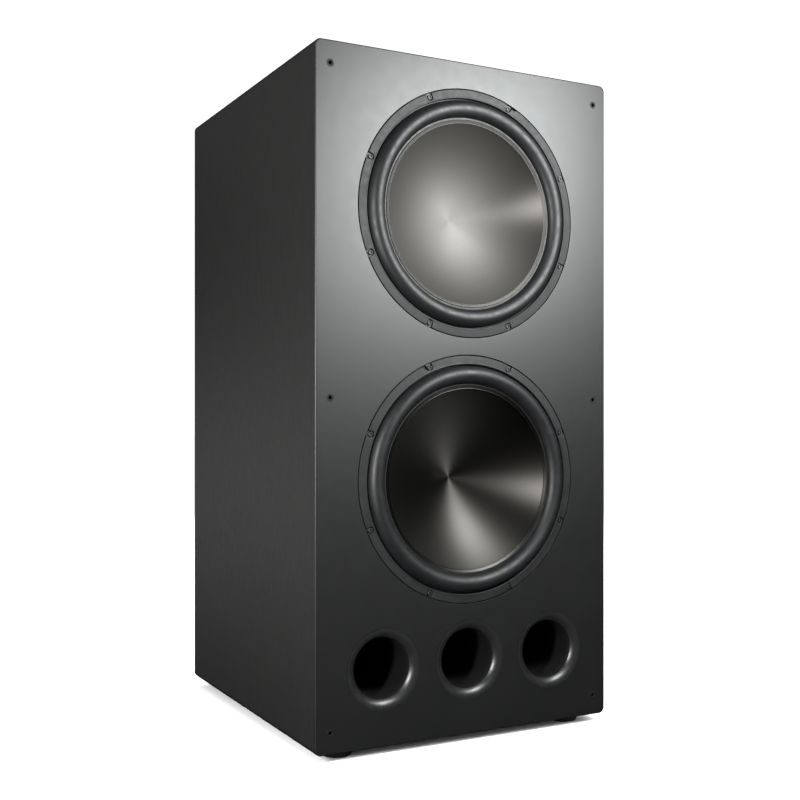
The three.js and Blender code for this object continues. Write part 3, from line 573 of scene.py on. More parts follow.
def stepped_hole(place, radius, inner_radius, count):
    """A through hole with a rebate round its front."""
    step = inner_radius - radius
    profile = eased(0.5 * MM, FRONT, steps=2)
    profile += [(0.0, FRONT + REBATE), (step, FRONT + REBATE), (step, BAFFLE_BACK)]
    return circle(place.x, place.z, radius, count), profile, True


def add_baffle():
    holes = [
        stepped_hole(middle(f"{driver}_basket"), REBATE_RADIUS, BASKET_HOLE, FINE)
        for driver in DRIVERS
    ]
    holes += [
        stepped_hole(middle(f"{port}_port"), MOUTH_RADIUS + MOUTH_GAP, PORT_HOLE, MEDIUM)
        for port in PORTS
    ]
    for node in GRILLE_SOCKETS:
        place = middle(node)
        profile = [(0.0, FRONT), (0.0, FRONT + SOCKET_DEPTH)]
        holes.append((circle(place.x, place.z, SOCKET_HOLE, SMALL), profile, False))
    outline = rounded_rectangle(LEFT, BASE, RIGHT, TOP, CORNER_RADIUS)
    wrap_start = FRONT + FRONT_ROUND + 0.1 * MM
    profile = eased(FRONT_ROUND, FRONT) + [(0.0, wrap_start), (WRAP, wrap_start), (WRAP, BAFFLE_BACK)]
    bm = board(outline, profile, holes)
    add("painted_baffle", bm, "baffle_paint", replaces=["front_baffle"])
    bm = bmesh.new()
    band = [(0.0, wrap_start), (0.0, BAFFLE_BACK), (WRAP, BAFFLE_BACK), (WRAP, wrap_start)]
    rings = rings_of(bm, outline, band, -1)
    join_rings(bm, rings + rings[:1])
    add("vinyl_wrap", bm, "cabinet_finish")


def add_panel(name, outline_at, node):
    """A panel that runs front to rear. outline_at(inset) is its outline with the outer edges drawn in."""
    bm = bmesh.new()
    profile = [(0.0, BAFFLE_BACK)] + eased_back(REAR_ROUND, REAR)
    rings = [[bm.verts.new((x, y, z)) for x, z in outline_at(inset)] for inset, y in profile]
    join_rings(bm, rings)
    for end in (rings[0], rings[-1]):
        bm.faces.new(end)
    add(name, bm, "cabinet_finish", replaces=[node])


def add_cabinet_panels():
    def side_outline(sign):
        def outline_at(inset):
            radius = CORNER_RADIUS - inset
            edge = RIGHT - CORNER_RADIUS
            points = [(INSIDE_RIGHT, BASE + inset)]
            points += quarter_circle(edge, BASE + CORNER_RADIUS, radius, -1)
            points += quarter_circle(edge, TOP - CORNER_RADIUS, radius, 0)
            points.append((INSIDE_RIGHT, TOP - inset))
            return [(sign * x, z) for x, z in points]
        return outline_at

    def shelf_outline(low, high):
        def outline_at(inset):
            bottom, top = max(low, BASE + inset), min(high, TOP - inset)
            corners = ((-1, bottom), (1, bottom), (1, top), (-1, top))
            return [(side * INSIDE_RIGHT, z) for side, z in corners]
        return outline_at

    add_panel("left_side", side_outline(-1), "left_side_panel")
    add_panel("right_side", side_outline(1), "right_side_panel")
    add_panel("top", shelf_outline(INSIDE_TOP, TOP), "top_panel")
    add_panel("bottom", shelf_outline(BASE, INSIDE_BASE), "bottom_panel")


def add_feet():
    """Rubber feet with a dished sole and a washer and screw head inside it."""
    for end in ("front", "rear"):
        for side in SIDES:
            node = f"{end}_{side}_foot"
            low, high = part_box(node)
            centre = Vector((middle(node).x, middle(node).y, low.z))
            height = (high.z - low.z) / MM
            radius = (high.y - low.y) / MM / 2
            outline = [(0, 5), (9, 5), (9, 0.8), (11, 0)]
            outline += [(radius - 5, 0)] + arc(radius - 3.5, 3.2, 3.2, -90, 0, 5)
            outline += arc(radius - 1.8, height - 1.5, 1.5, 0, 90, 4) + [(0, height)]
            add(f"{node}_pad", turned(outline, centre, MEDIUM, axis="z"), "foot_rubber", replaces=[node])
            screw = [(0, 3.4), (1.6, 3.4), (1.9, 2.2), (4.6, 2.6), (5.5, 3.6)]
            screw += [(5.5, 4.2), (8, 4.2), (8, 4.9), (0, 4.9)]
            add(f"{node}_screw", turned(screw, centre, SMALL, axis="z"), "plated_steel")


def add_sockets():
    """Cup-shaped grille sockets with a rolled lip."""
    outline = arc(4.1, 0.1, 0.6, 180, 270, 3) + arc(6.5, 0, 0.5, -90, 0, 3)
    outline += [(7, -0.03), (5.7, -0.03), (5.7, 12.4), (5.2, 13), (0, 13), (0, 11.5), (3.5, 11.5)]
    for node in GRILLE_SOCKETS:
        add(f"{node}_cup", turned(outline, on_front(node), SMALL), "socket_plastic", replaces=[node])


def add_ports():
    """Port tubes: a satin flare at the front and a throat behind it, eased at its far end. The throat and
    the inner part of the flare take a darker, matt colour, which is painted shade in the bore.
    """
    bore, flare, wall, length = 53, 19.5, 3.5, 460
    # Inwards of this angle on the flare, the port takes the darker throat colour: painted shade.
    mouth, shade_edge = bore + flare, 212
    lip = arc(mouth, flare, flare, 270, shade_edge, 14) + arc(mouth, flare, flare - wall, shade_edge, 266, 12)
    throat = arc(mouth, flare, flare - 0.02, shade_edge - 0.5, 180, 8)
    throat += [(bore, length - 4), (bore + 1.2, length - 1), (bore + 2.4, length)]
    throat.append((bore + wall, length - 0.6))
    throat += arc(mouth, flare, flare - wall, 180, shade_edge - 0.5, 8)
    for port in PORTS:
        centre = on_front(f"{port}_port")
        add(f"{port}_port_flare", turned(lip, centre, FINE), "port_plastic",
            replaces=[f"{port}_port"])
        add(f"{port}_port_throat", turned(throat, centre, MEDIUM), "port_plastic", THROAT_PAINTED_SHADE)


# ---- Drivers: sizes in millimetres from the front face ----
FLANGE_TOP = 3
GASKET_TOP = -1
GASKET_INNER = 213
GASKET_OUTER = 229.4
NOTCH_RADIUS = 6
BOLT_CIRCLE = 222.5
BOLT_COUNT = 8
BOLT_ANGLES = [TURN * (i + 0.5) / BOLT_COUNT for i in range(BOLT_COUNT)]
GROOVE_FLOOR = 7  # the surround's outer foot lies this deep, so a groove shows round the roll
ROLL_OUTER = 211
ROLL_INNER = 178
ROLL_CREST = 13
CONE_RADIUS = 174
CONE_RIM = 2.5
DISH_RADIUS = 168.5
DISH_DEPTH = 75.5
DISH_EDGE = 4
DISH_SKIN = 1.5
DISH_SPHERE = (DISH_RADIUS**2 + DISH_DEPTH**2) / (2 * DISH_DEPTH)
COIL_INNER = 50.8
COIL_OUTER = 53.5
SPIDER_Y = 92
SPIDER_OUTER = 118
MOTOR_FRONT = 125
PLATE_OUTER = 96
PLATE_STEEL = 12
MAGNET_OUTER = 110
MAGNET_HEIGHT = 48
YOKE_THICKNESS = 15
SPOKE_WIDTH = 16


def add_frame(driver, centre):
    """The cast basket: a flange, eight spokes, the spider's shelf, the motor's seat and a terminal lug."""
    radius, inner = FRAME_RADIUS / MM, 199
    rim = [(inner, GROOVE_FLOOR), (GASKET_INNER, GROOVE_FLOOR), (GASKET_INNER, FLANGE_TOP)]
    rim += [(radius - 1, FLANGE_TOP), (radius, FLANGE_TOP + 1), (radius, REBATE / MM - 0.1)]
    rim += [(inner + 7, REBATE / MM - 0.1), (inner + 7, 18), (inner, 18)]
    ledge, lip, seat = SPIDER_OUTER - 8, SPIDER_OUTER + 12, PLATE_OUTER - 26
    shelf = [(ledge, SPIDER_Y + 2), (lip, SPIDER_Y + 2), (lip, SPIDER_Y + 14)]
    shelf += [(PLATE_OUTER + 6, MOTOR_FRONT - 0.3), (seat, MOTOR_FRONT - 0.3), (seat, MOTOR_FRONT - 8)]
    shelf.append((ledge, SPIDER_Y + 12))
    parts = [turned(rim, centre, FINE), turned(shelf, centre, MEDIUM)]
    section = [(inner + 1, 9), (inner + 4, 17), (lip, SPIDER_Y + 13)]
    section += [(SPIDER_OUTER + 5, SPIDER_Y + 5), (SPIDER_OUTER + 8, SPIDER_Y - 4)]
    for angle in BOLT_ANGLES:
        out, across = around(angle), around(angle + QUARTER)
        spoke = bmesh.new()
        ends = []
        for half in (-SPOKE_WIDTH / 2, SPOKE_WIDTH / 2):
            places = [centre + MM * (out * r + across * half + Vector((0, y, 0))) for r, y in section]
            ends.append([spoke.verts.new(place) for place in places])
        join_rings(spoke, ends)
        for end in ends:
            spoke.faces.new(end)
        ease_edges(spoke, 1.5 * MM)
        parts.append(spoke)
    lug = 138
    parts.append(box(centre + MM * Vector((lug - 20, SPIDER_Y + 3, -12)),
                     centre + MM * Vector((lug + 10, SPIDER_Y + 16, 12)), edge=1.2 * MM))
    add(f"{driver}_cast_frame", combined(f"{driver}_frame", "UNION", parts), "cast_frame",
        replaces=[f"{driver}_basket"])


def notched_circle(centre):
    """The gasket's outer edge, with a round-ended notch at each screw."""
    points = []
    half = math.asin(NOTCH_RADIUS / GASKET_OUTER)
    for bolt in BOLT_ANGLES:
        start = bolt - TURN / BOLT_COUNT + half
        arc_steps = 14
        for k in range(arc_steps + 1):
            angle = start + (bolt - half - start) * k / arc_steps
            points.append((GASKET_OUTER * math.cos(angle), GASKET_OUTER * math.sin(angle)))
        notch_steps = 10
        for k in range(notch_steps + 1):
            turn = bolt - QUARTER - math.pi * k / notch_steps
            points.append((
                BOLT_CIRCLE * math.cos(bolt) + NOTCH_RADIUS * math.cos(turn),
                BOLT_CIRCLE * math.sin(bolt) + NOTCH_RADIUS * math.sin(turn),
            ))
    return [(centre.x + x * MM, centre.z + z * MM) for x, z in points]


def add_gasket(driver, centre):
    """The trim ring: flat, notched at the screws, with a raised bead round its inner edge."""
    top, foot = FRONT + GASKET_TOP * MM, FRONT + (FLANGE_TOP - 0.05) * MM
    inner = circle(centre.x, centre.z, GASKET_INNER * MM, FINE)
    bead = [(3.4 * MM, top + 0.5 * MM), (2.6 * MM, top + 0.15 * MM), (1.6 * MM, top)]
    bead += [(0.6 * MM, top + 0.4 * MM), (0.0, top + 1.2 * MM), (0.0, foot)]
    outline = notched_circle(centre)
    profile = [(0.5 * MM, top + 0.5 * MM), (0.0, top + 1.0 * MM), (0.0, foot)]
    bm = board(outline, profile, [(inner, bead, True)])
    add(f"{driver}_trim_ring", bm, "gasket_rubber",
        replaces=[f"{driver}_mounting_gasket"], sharp=50)


def add_screws(driver, centre):
    """Socket-head screws that hold the frame to the baffle."""
    head = [(0, 1.6), (2.4, 1.6), (2.6, -0.2), (3.6, -0.2), (4.2, 0.4), (4.2, FLANGE_TOP), (0, FLANGE_TOP)]
    for i, angle in enumerate(BOLT_ANGLES):
        place = centre + BOLT_CIRCLE * MM * around(angle)
        add(f"{driver}_frame_screw_{i + 1}", turned(head, place, SMALL), "cast_frame")


def add_surround(driver, centre):
    """The tall half roll of rubber, flat where it is glued to the frame and to the dish."""
    inner_foot, outer_foot = FLANGE_TOP - 0.3, GROOVE_FLOOR - 0.1
    skin, flat, steps = 2.0, 0.8, 28
    middle_r, half_width = (ROLL_OUTER + ROLL_INNER) / 2, (ROLL_OUTER - ROLL_INNER) / 2

    def roll(inset):
        points = []
        for i in range(steps + 1):
            angle = math.pi * i / steps
            foot = inner_foot + (outer_foot - inner_foot) * (1 + math.cos(angle)) / 2
            y = foot - (foot + ROLL_CREST - inset) * math.sin(angle)
            points.append((middle_r + math.cos(angle) * (half_width - inset), y))
        return points

    outer, inner = roll(0.0), roll(skin)
    outer[0] = (outer[0][0], outer_foot - flat)
    outer[-1] = (outer[-1][0], inner_foot - flat)
    outline = [(GASKET_INNER - 0.3, outer_foot), (GASKET_INNER - 0.3, outer_foot - flat)] + outer
    outline += [(CONE_RADIUS + 1.0, inner_foot - flat), (CONE_RADIUS + 0.4, inner_foot - flat + 0.3)]
    outline += [(CONE_RADIUS + 0.3, inner_foot)] + inner[::-1]
    piece = add(f"{driver}_half_roll", turned(outline, centre, FINE), "surround_rubber",
                body=None, replaces=[f"{driver}_surround"], sharp=50)
    blend_radially(piece, centre)


def dish_at(radius):
    """How far in the dish's face lies at a distance from its axis: it is part of a sphere."""
    return DISH_EDGE + DISH_DEPTH - DISH_SPHERE + math.sqrt(DISH_SPHERE**2 - radius**2)


def add_cone(driver, centre):
    """The spun dish: part of a sphere, with a raised bead and a flat shoulder round its edge."""
    steps = 24
    radii = [DISH_RADIUS * i / steps for i in range(steps + 1)]
    front = [(r, dish_at(r)) for r in radii[:-1]] + [(DISH_RADIUS - 1, dish_at(DISH_RADIUS - 1))]
    bead = arc(DISH_RADIUS + 0.2, DISH_EDGE + 0.1, 0.6, 190, 320, 6)
    shoulder = [(DISH_RADIUS + 0.9, DISH_EDGE - 0.1), (CONE_RADIUS - 0.5, CONE_RIM - 1.2)]
    back = [(CONE_RADIUS, CONE_RIM), (CONE_RADIUS, DISH_EDGE + DISH_SKIN)]
    back += [(CONE_RADIUS - 4, DISH_EDGE + DISH_SKIN + 0.8)]
    back += [(r, dish_at(r) + DISH_SKIN) for r in reversed(radii[:-1])]
    add(f"{driver}_spun_dish", turned(front + bead + shoulder + back, centre, FINE),
        f"{driver}_cone_metal", body=f"{driver}_cone",
        replaces=[f"{driver}_cone"], sharp=50)


def add_spider(driver, centre):
    """The corrugated cloth disc that centres the coil."""
    start, end = COIL_INNER + 1.0, SPIDER_OUTER + 3
    waves, steps = 6, 96

    def line(offset):
        points = []
        for i in range(steps + 1):
            share = i / steps
            swell = min(1.0, max(0.0, share - 0.06) * 8, max(0.0, 0.9 - share) * 8)
            points.append((
                start + share * (end - start),
                SPIDER_Y + 3.2 * swell * math.sin(share * waves * TURN) + offset,
            ))
        return points

    outline = line(0.0) + line(1.0)[::-1]
    piece = add(f"{driver}_centring_disc", turned(outline, centre, MEDIUM), "spider_cloth",
                body=None, replaces=[f"{driver}_spider"], sharp=60)
    blend_radially(piece, centre)


def chamfered_ring(inner, outer, near, far, chamfer):
    """The outline of a flat ring with its edges broken."""
    return [
        (inner, near + chamfer), (inner + chamfer, near), (outer - chamfer, near), (outer, near + chamfer),
        (outer, far - chamfer), (outer - chamfer, far), (inner + chamfer, far), (inner, far - chamfer),
    ]


def add_motor(driver, centre):
    magnet_front = MOTOR_FRONT + PLATE_STEEL
    magnet_rear = magnet_front + MAGNET_HEIGHT
    pole, vent = COIL_INNER - 1.3, 18
    yoke_rear = magnet_rear + YOKE_THICKNESS
    former = COIL_INNER + 0.7
    former_front, former_rear = dish_at(COIL_INNER - 1) + DISH_SKIN + 0.3, 155
    wire_front, wire_rear = 111, 151
    coil = [(COIL_INNER, former_front), (former, former_front), (former, wire_front - 0.5)]
    coil += [(COIL_OUTER - 0.4, wire_front), (COIL_OUTER, wire_front + 0.6), (COIL_OUTER, wire_rear - 0.6)]
    coil += [(COIL_OUTER - 0.4, wire_rear), (former, wire_rear + 0.5), (former, former_rear)]
    coil.append((COIL_INNER, former_rear))
    yoke = [(vent, MOTOR_FRONT + 1), (vent + 1, MOTOR_FRONT), (pole - 1, MOTOR_FRONT)]
    yoke += [(pole, MOTOR_FRONT + 1), (pole, magnet_rear), (PLATE_OUTER - 1, magnet_rear)]
    yoke += [(PLATE_OUTER, magnet_rear + 1), (PLATE_OUTER, yoke_rear - 4), (PLATE_OUTER - 4, yoke_rear)]
    yoke += [(vent + 8, yoke_rear), (vent, yoke_rear - 8)]
    plate = chamfered_ring(COIL_OUTER + 1.5, PLATE_OUTER, MOTOR_FRONT, magnet_front, 1)
    magnet = chamfered_ring(64, MAGNET_OUTER, magnet_front, magnet_rear, 2)
    pieces = (
        ("wound_coil", coil, "coil_copper", f"{driver}_cone", "voice_coil"),
        ("front_plate", plate, "plated_steel", "cabinet", "top_plate"),
        ("ferrite_ring", magnet, "ferrite", "cabinet", "magnet"),
        ("vented_yoke", yoke, "plated_steel", "cabinet", "yoke"),
    )
    for name, outline, slot, body, node in pieces:
        add(f"{driver}_{name}", turned(outline, centre, MEDIUM), slot, body=body,
            replaces=[f"{driver}_{node}"])


def add_driver(driver):
    centre = on_front(f"{driver}_basket")
    for build in (add_frame, add_gasket, add_screws, add_surround, add_cone, add_spider, add_motor):
        build(driver, centre)


# ---- Amplifier: sizes in millimetres; on_plate() puts x, y out of the cabinet and z in place ----
PLATE = 3
PLATE_HALF = (140, 200)
KNOBS = ("gain", "crossover", "phase")
KNOB_ROW = -32  # the level of the knobs' axes from the middle of the plate
KNOB_SWEEP = math.radians(280)
ROCKER_PIVOT = PLATE + 1
ROCKER_REST = math.radians(9)  # half of the rocker's travel
SINK_HALF = (100, 85)
SINK_HEIGHT = 27
RCA_STEP = 9.5
INLET_FACE = PLATE + 2.5
SOCKET_MIDDLE = 8


def on_plate(x, z, y=0.0):
    """A point from its place on the amplifier's plate."""
    plate = middle("amp_plate")
    return Vector((plate.x + x * MM, REAR + y * MM, plate.z + z * MM))


def node_on_plate(node):
    """Where a CAD node's middle stands on the plate, in millimetres."""
    place, plate = middle(node), middle("amp_plate")
    return (place.x - plate.x) / MM, (place.z - plate.z) / MM


def panel_outline(x, z, half_x, half_z, radius):
    low, high = on_plate(x - half_x, z - half_z), on_plate(x + half_x, z + half_z)
    return rounded_rectangle(low.x, low.z, high.x, high.z, radius * MM, steps=4)


def outwards(*profile):
    """A profile for board() given as (inset, how far out of the cabinet) in millimetres."""
    return [(inset * MM, REAR + y * MM) for inset, y in profile]


def extruded(section, low, high, axes):
    """A prism. The section is [(a, b)]; axes says which letters a, b and the length run along."""
    bm = bmesh.new()
    rings = []
    for along in (low, high):
        ring = []
        for a, b in section:
            place = dict(zip(axes, (a, b, along)))
            ring.append(bm.verts.new((place["x"], place["y"], place["z"])))
        rings.append(ring)
    join_rings(bm, rings)
    for ring in rings:
        bmesh.ops.triangle_fill(bm, edges=edges_of(bm, ring), use_beauty=True)
    return bm


def add_amp_plate():
    def round_hole(place, radius):
        centre = on_plate(*place)
        return circle(centre.x, centre.z, radius * MM, SMALL), outwards((0, PLATE), (0, 0)), True

    def window(node, half_x, half_z):
        x, z = node_on_plate(node)
        return panel_outline(x, z, half_x, half_z, 1), outwards((0, PLATE), (0, 0)), True

    rca_x, rca_z = node_on_plate("rca_jack_pair")
    holes = [round_hole(node_on_plate(f"{knob}_knob"), 3.6) for knob in KNOBS]
    holes += [
        round_hole(node_on_plate("mode_switch_bushing"), 6.3),
        round_hole(node_on_plate("status_lamp"), 3.3),
        round_hole(node_on_plate("xlr_input"), 12.1),
        round_hole((rca_x, rca_z + RCA_STEP), 6.2),
        round_hole((rca_x, rca_z - RCA_STEP), 6.2),
        window("power_switch_housing", 10.3, 15.3),
        window("mains_inlet", 14.3, 24.3),
    ]
    outline = panel_outline(0, 0, *PLATE_HALF, 8)
    profile = outwards((0.8, PLATE), (0.25, PLATE - 0.25), (0, PLATE - 0.8), (0, 0))
    add("amplifier_panel", board(outline, profile, holes), "black_aluminium",
        replaces=["amp_plate"])


def add_plate_screws():
    """Ten cross-head screws round the edge of the plate."""
    half_x, half_z = PLATE_HALF[0] - 9, PLATE_HALF[1] - 9
    places = [(x, z) for x in (-half_x, half_x) for z in (-half_z, -half_z / 3, half_z / 3, half_z)]
    places += [(0, -half_z), (0, half_z)]
    head = [(0, 2.2), (1.6, 2.1), (3.0, 1.5), (3.8, 0.4), (3.8, 0), (0, 0)]
    for i, place in enumerate(places):
        centre = on_plate(*place, PLATE)
        parts = [turned(head, centre, SMALL)]
        for a, b in ((2.2, 0.4), (0.4, 2.2)):
            parts.append(box(centre + MM * Vector((-a, 1.2, -b)), centre + MM * Vector((a, 3, b))))
        add(f"plate_screw_{i + 1}", combined(f"plate_screw_{i + 1}", "DIFFERENCE", parts), "cast_frame")


def add_heat_sink():
    fins, base, thickness, tip = 13, 5, 3, 1
    half_x, half_z = SINK_HALF
    pitch = (2 * half_x - thickness) / (fins - 1)
    section = [(-half_x, 0)]
    for i in range(fins):
        left = -half_x + i * pitch
        right = left + thickness
        if i > 0:
            section += [(left - 1, base), (left, base + 1)]
        section += [(left, SINK_HEIGHT - tip), (left + tip, SINK_HEIGHT), (right - tip, SINK_HEIGHT)]
        section += [(right, SINK_HEIGHT - tip)]
        if i < fins - 1:
            section += [(right, base + 1), (right + 1, base)]
    section.append((half_x, 0))
    x, z = node_on_plate("amp_heat_sink")
    origin = on_plate(x, z, PLATE)
    section = [(origin.x + a * MM, origin.y + b * MM) for a, b in section]
    bm = extruded(section, origin.z - half_z * MM, origin.z + half_z * MM, "xyz")
    add("finned_heat_sink", bm, "black_aluminium", replaces=["amp_heat_sink"])


def add_knob(name):
    """A fluted knob with a printed line, over a ring of printed dots."""
    node = f"{name}_knob"
    centre = on_plate(node_on_plate(node)[0], KNOB_ROW, PLATE)
    outline = [(0, -17), (3, -17), (3, 1.5), (10.6, 1.5), (11, 1.9), (11, 4.4), (10.6, 5), (9.2, 5.8)]
    outline += [(8.7, 16.6), (8.3, 17.4), (7.5, 17.8), (6.4, 17.5), (0, 17.3)]
    bm = turned(outline, centre, FINE)
    flutes = 24
    for vertex in bm.verts:
        from_axis = vertex.co - centre
        if from_axis.y > 5.5 * MM and math.hypot(from_axis.x, from_axis.z) > 8 * MM:
            angle = math.atan2(from_axis.z, from_axis.x)
            shrink = 1 - 0.022 * (1 + math.cos(flutes * angle))
            vertex.co.x = centre.x + from_axis.x * shrink
            vertex.co.z = centre.z + from_axis.z * shrink
    add(f"{name}_fluted_knob", bm, "control_plastic", body=node, replaces=[node])
    low, high = centre + MM * Vector((-0.6, 17, 2)), centre + MM * Vector((0.6, 18.3, 8.2))
    add(f"{name}_pointer", box(low, high, edge=0.15 * MM), "control_plastic", PRINTED, body=node)
    dots, marks = 11, []
    for i in range(dots):
        place = centre + 15 * MM * around(QUARTER + KNOB_SWEEP * (i / (dots - 1) - 0.5))
        marks.append(turned([(0, -0.05), (0.7, -0.05), (0.7, 0.1), (0, 0.1)], place, 12))
    add(f"{name}_scale", merged(*marks), "control_plastic", PRINTED)


def add_power_switch():
    x, z = node_on_plate("power_switch_housing")
    hole = (panel_outline(x, z, 7.5, 12.8, 0.6), outwards((0, PLATE + 2), (0, -10)), False)
    profile = outwards((0.6, PLATE + 2), (0, PLATE + 1.4), (0, PLATE + 0.3), (2, PLATE + 0.3), (2, -18))
    add("power_switch_bezel", board(panel_outline(x, z, 12, 17, 1.5), profile, [hole]),
        "control_plastic", replaces=["power_switch_housing"])
    section = [(-9, -5), (9, -5), (11, 4.2), (10.2, 4.6), (5, 3.1)]
    section += [(0, 2.6), (-5, 3.1), (-10.2, 4.6), (-11, 4.2)]
    pivot = on_plate(x, z, ROCKER_PIVOT)
    bm = extruded([(a * MM, b * MM) for a, b in section], -7 * MM, 7 * MM, "zyx")
    turn = Matrix.Translation(pivot) @ Matrix.Rotation(ROCKER_REST, 4, "X")
    bmesh.ops.transform(bm, matrix=turn, verts=bm.verts[:])
    add("rocker_button", bm, "control_plastic", body="power_rocker",
        replaces=["power_rocker"])
    bar = box(Vector((-0.5, 3.55, 4.2)) * MM, Vector((0.5, 3.95, 8.2)) * MM)
    bmesh.ops.transform(bar, matrix=turn @ Matrix.Rotation(math.radians(4), 4, "X"), verts=bar.verts[:])
    add("rocker_mark", bar, "control_plastic", PRINTED, body="power_rocker")


def add_toggle():
    place = on_plate(*node_on_plate("mode_switch_bushing"))
    bushing = [(4.4, 11.5), (4.9, 12), (5.6, 12), (6, 11.5)]
    for i in range(8):
        bushing += [(6, 11.2 - i), (5.6, 10.7 - i)]
    bushing += [(6, 3), (6, -14), (0, -14), (0, -8), (4.4, -8)]
    add("toggle_bushing", turned(bushing, place, SMALL), "nickel",
        replaces=["mode_switch_bushing"])
    nut = [(6.1, PLATE + 0.2), (9, PLATE + 0.2), (9, PLATE + 2.4), (8.4, PLATE + 2.9), (6.1, PLATE + 2.9)]
    add("toggle_nut", turned(nut, place, 6), "nickel", sharp=20)
    lever = [(0, 0), (2.6, 1.5), (2.6, 4.5), (1.5, 6), (2.4, 24)] + arc(0, 25.2, 2.3, -20, 90, 8)
    add("toggle_bat", turned(lever, place, SMALL), "nickel", body="mode_switch_lever",
        replaces=["mode_switch_lever"])


def add_phono_jacks():
    x, z = node_on_plate("rca_jack_pair")
    parts = [box(on_plate(x - 9, z - 19, -16), on_plate(x + 9, z + 19, -0.3))]
    for side, insert in ((1, WHITE_INSERT), (-1, RED_INSERT)):
        centre = on_plate(x, z + side * RCA_STEP, PLATE)
        barrel = [(1.6, -2), (1.6, 8), (3.1, 8), (3.3, 9), (3.9, 9), (4.2, 8.6), (4.2, 2), (4.2, -8)]
        barrel += [(0, -8), (0, -2)]
        parts.append(turned(barrel, centre, SMALL))
        collar = [(4.25, 0.05), (7, 0.05), (7, 0.9), (6.6, 1.3), (4.25, 1.3)]
        name = "upper" if side > 0 else "lower"
        add(f"{name}_phono_collar", turned(collar, centre, SMALL), "control_plastic", insert)
    add("phono_jacks", combined("phono", "UNION", parts), "nickel", replaces=["rca_jack_pair"])


def add_xlr():
    x, z = node_on_plate("xlr_input")
    centre = on_plate(x, z)
    holes = []
    for degrees in (90, 210, 330):
        place = centre + 5 * MM * around(math.radians(degrees))
        holes.append((circle(place.x, place.z, 1.7 * MM, 16), outwards((0, PLATE + 1.5), (0, -8)), False))
    face = circle(centre.x, centre.z, 9.6 * MM, MEDIUM)
    core = board(face, outwards((0.4, PLATE + 1.5), (0, PLATE + 1.1), (0, -6)), holes)
    add("xlr_core", core, "control_plastic")
    well_edge = circle(centre.x, centre.z, 10.4 * MM, MEDIUM)
    well = (well_edge, outwards((0, PLATE + 2.5), (0, PLATE + 0.3)), True)
    profile = outwards((0.5, PLATE + 2.5), (0, PLATE + 2), (0, PLATE + 0.3))
    shell = board(panel_outline(x, z, 13, 15.5, 2.5), profile, [well])
    add("xlr_flange", shell, "control_plastic", replaces=["xlr_input"])
    barrel = [(10.4, PLATE + 0.2), (11.8, PLATE + 0.2), (11.8, -22), (0, -22), (0, -7), (10.4, -7)]
    add("xlr_barrel", turned(barrel, centre, MEDIUM), "nickel")


def add_inlet():
    x, z = node_on_plate("mains_inlet")
    plate = middle("amp_plate")
    half_x, half_z, cut_corner = 12.2, 8.2, 4.5
    corners = [(half_x, half_z), (-half_x, half_z), (-half_x, cut_corner - half_z)]
    corners += [(cut_corner - half_x, -half_z), (half_x - cut_corner, -half_z)]
    corners.append((half_x, cut_corner - half_z))
    socket = [(plate.x + (x + a) * MM, plate.z + (z + SOCKET_MIDDLE + b) * MM) for a, b in corners]
    drawer_x, drawer_z = node_on_plate("fuse_drawer")
    holes = [
        (socket, outwards((0, INLET_FACE), (0, INLET_FACE - 16)), False),
        (panel_outline(drawer_x, drawer_z, 11, 5, 0.5), outwards((0, INLET_FACE), (0, -18)), False),
    ]
    profile = outwards((0.8, INLET_FACE), (0.2, INLET_FACE - 0.3), (0, INLET_FACE - 0.9), (0, PLATE + 0.3))
    profile += outwards((2.5, PLATE + 0.3), (2.5, -22))
    add("inlet_housing", board(panel_outline(x, z, 16.5, 26.5, 3), profile, holes),
        "control_plastic", replaces=["mains_inlet"])
    for i, (a, b) in enumerate(((-7, -2), (7, -2), (0, 2))):
        low = on_plate(x + a - 1, z + SOCKET_MIDDLE + b - 2, INLET_FACE - 16.5)
        high = on_plate(x + a + 1, z + SOCKET_MIDDLE + b + 2, INLET_FACE - 3)
        add(f"inlet_pin_{i + 1}", box(low, high, edge=0.5 * MM), "nickel")
    low = on_plate(drawer_x - 10.5, drawer_z - 4.5, -17)
    high = on_plate(drawer_x + 10.5, drawer_z + 4.5, INLET_FACE + 0.5)
    body = box(low, high, edge=0.4 * MM)
    low = on_plate(drawer_x - 5, drawer_z - 4.3, INLET_FACE - 1)
    high = on_plate(drawer_x + 5, drawer_z - 2.5, INLET_FACE + 2)
    tab = box(low, high, edge=0.3 * MM)
    add("fuse_tray", combined("fuse_tray", "UNION", [body, tab]), "control_plastic",
        body="fuse_drawer", replaces=["fuse_drawer"])


def add_lamp():
    place = on_plate(*node_on_plate("status_lamp"))
    lens = [(0, -6), (2.9, -6), (2.9, PLATE + 0.6)] + arc(0, PLATE + 0.7, 2.6, 15, 90, 6)
    add("lamp_dome", turned(lens, place, SMALL), "lamp", replaces=["status_lamp"])
    ring = [(3.0, PLATE + 0.3), (4, PLATE + 0.3), (4, PLATE + 0.9), (3.6, PLATE + 1.3), (3.0, PLATE + 1.3)]
    add("lamp_ring", turned(ring, place, SMALL), "control_plastic")


def add_amplifier():
    add_amp_plate()
    add_plate_screws()
    add_heat_sink()
    for knob in KNOBS:
        add_knob(knob)
    add_power_switch()
    add_toggle()
    add_phono_jacks()
    add_xlr()
    add_inlet()
    add_lamp()


# ---- Studio ----
STUDIO_WHITE = 1.12  # bright enough for the floor to run into the background


def add_floor():
    """A plain white floor that reaches past every view."""
    bm = bmesh.new()
    bmesh.ops.create_grid(bm, x_segments=1, y_segments=1, size=30.0)
    floor = placed("floor", mesh_from("floor", bm))
    floor.data.materials.append(new_material("floor_paper", (0.9, 0.9, 0.9), 0.9, Specular_IOR_Level=0.0))
    floor.visible_glossy = False


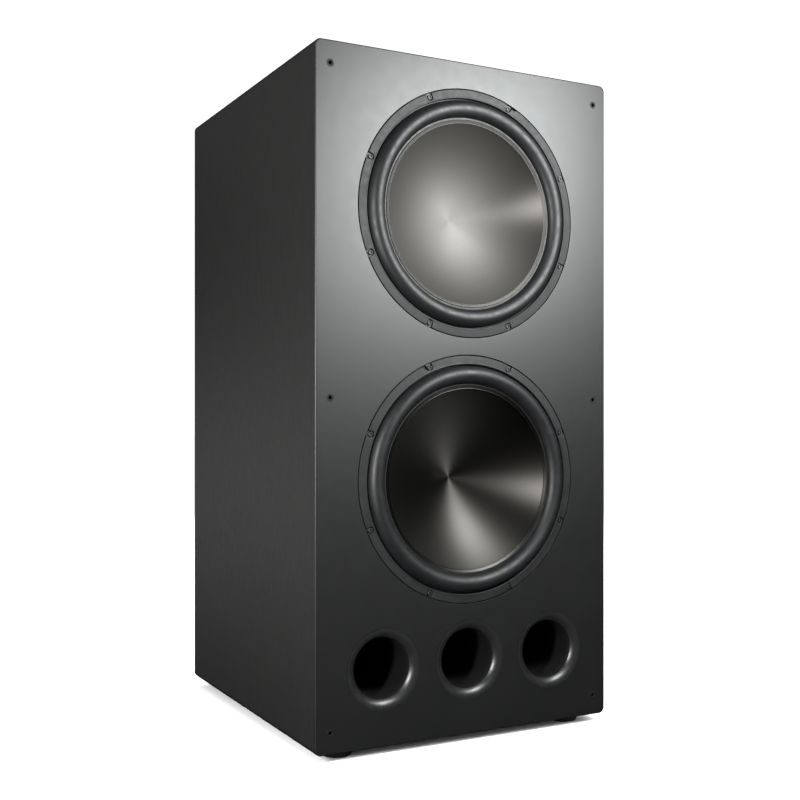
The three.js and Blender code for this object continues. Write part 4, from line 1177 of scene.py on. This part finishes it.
def add_softbox(name, place, target, width, height, power, color=(1.0, 1.0, 1.0)):
    """A rectangular light that faces a point."""
    light = bpy.data.lights.new(name, "AREA")
    light.shape = "RECTANGLE"
    light.size = width
    light.size_y = height
    light.energy = power
    light.color = color
    softbox = placed(name, light)
    softbox.location = place
    softbox.rotation_euler = (Vector(target) - Vector(place)).to_track_quat("-Z", "Y").to_euler()
    softbox.visible_camera = False


def add_lights():
    world = bpy.data.worlds.new("studio")
    world.use_nodes = True
    background = world.node_tree.nodes["Background"]
    background.inputs["Color"].default_value = (1.0, 1.0, 1.0, 1.0)
    background.inputs["Strength"].default_value = STUDIO_WHITE
    world.cycles_visibility.glossy = False
    bpy.context.scene.world = world
    add_softbox("key", (0.44, -1.17, 1.25), (0, FRONT, 0.8), 0.5, 0.6, 40, color=(0.975, 1.0, 1.0))
    add_softbox("strip", (-1.75, -1.25, 0.83), (0, FRONT, 0.8), 0.16, 0.62, 76)
    add_softbox("low_left", (-2.3, 2.8, 0.25), (LEFT, 0.1, 0.2), 1.8, 0.9, 11)
    add_softbox("rear_right", (1.4, 3.4, 2.1), (0, REAR, 0.6), 1.8, 1.4, 150)
    add_softbox("rear_left", (-1.25, 3.4, 2.3), (0, REAR, 0.9), 0.7, 0.9, 1.5)
    add_softbox("right", (2.8, 1.0, 1.7), (RIGHT, 0, 0.7), 1.4, 1.4, 30)


def add_camera():
    """In front of the left edge, a little below the middle of the cabinet."""
    data = bpy.data.cameras.new("camera")
    data.lens = 50.26
    data.sensor_width = 36.0
    data.shift_x = 0.0017
    data.shift_y = 0.0198
    camera = placed("camera", data)
    camera.location = Vector((LEFT, FRONT, BASE)) + Vector((-0.7765, -1.7722, 0.5907))
    camera.rotation_euler = (QUARTER, 0, math.radians(-27.944))
    bpy.context.scene.camera = camera


add_camera()
dress_cad_nodes()
add_baffle()
add_cabinet_panels()
add_feet()
add_sockets()
add_ports()
for driver_name in DRIVERS:
    add_driver(driver_name)
add_amplifier()
add_floor()
add_lights()
bpy.context.scene.view_settings.view_transform = "Standard"
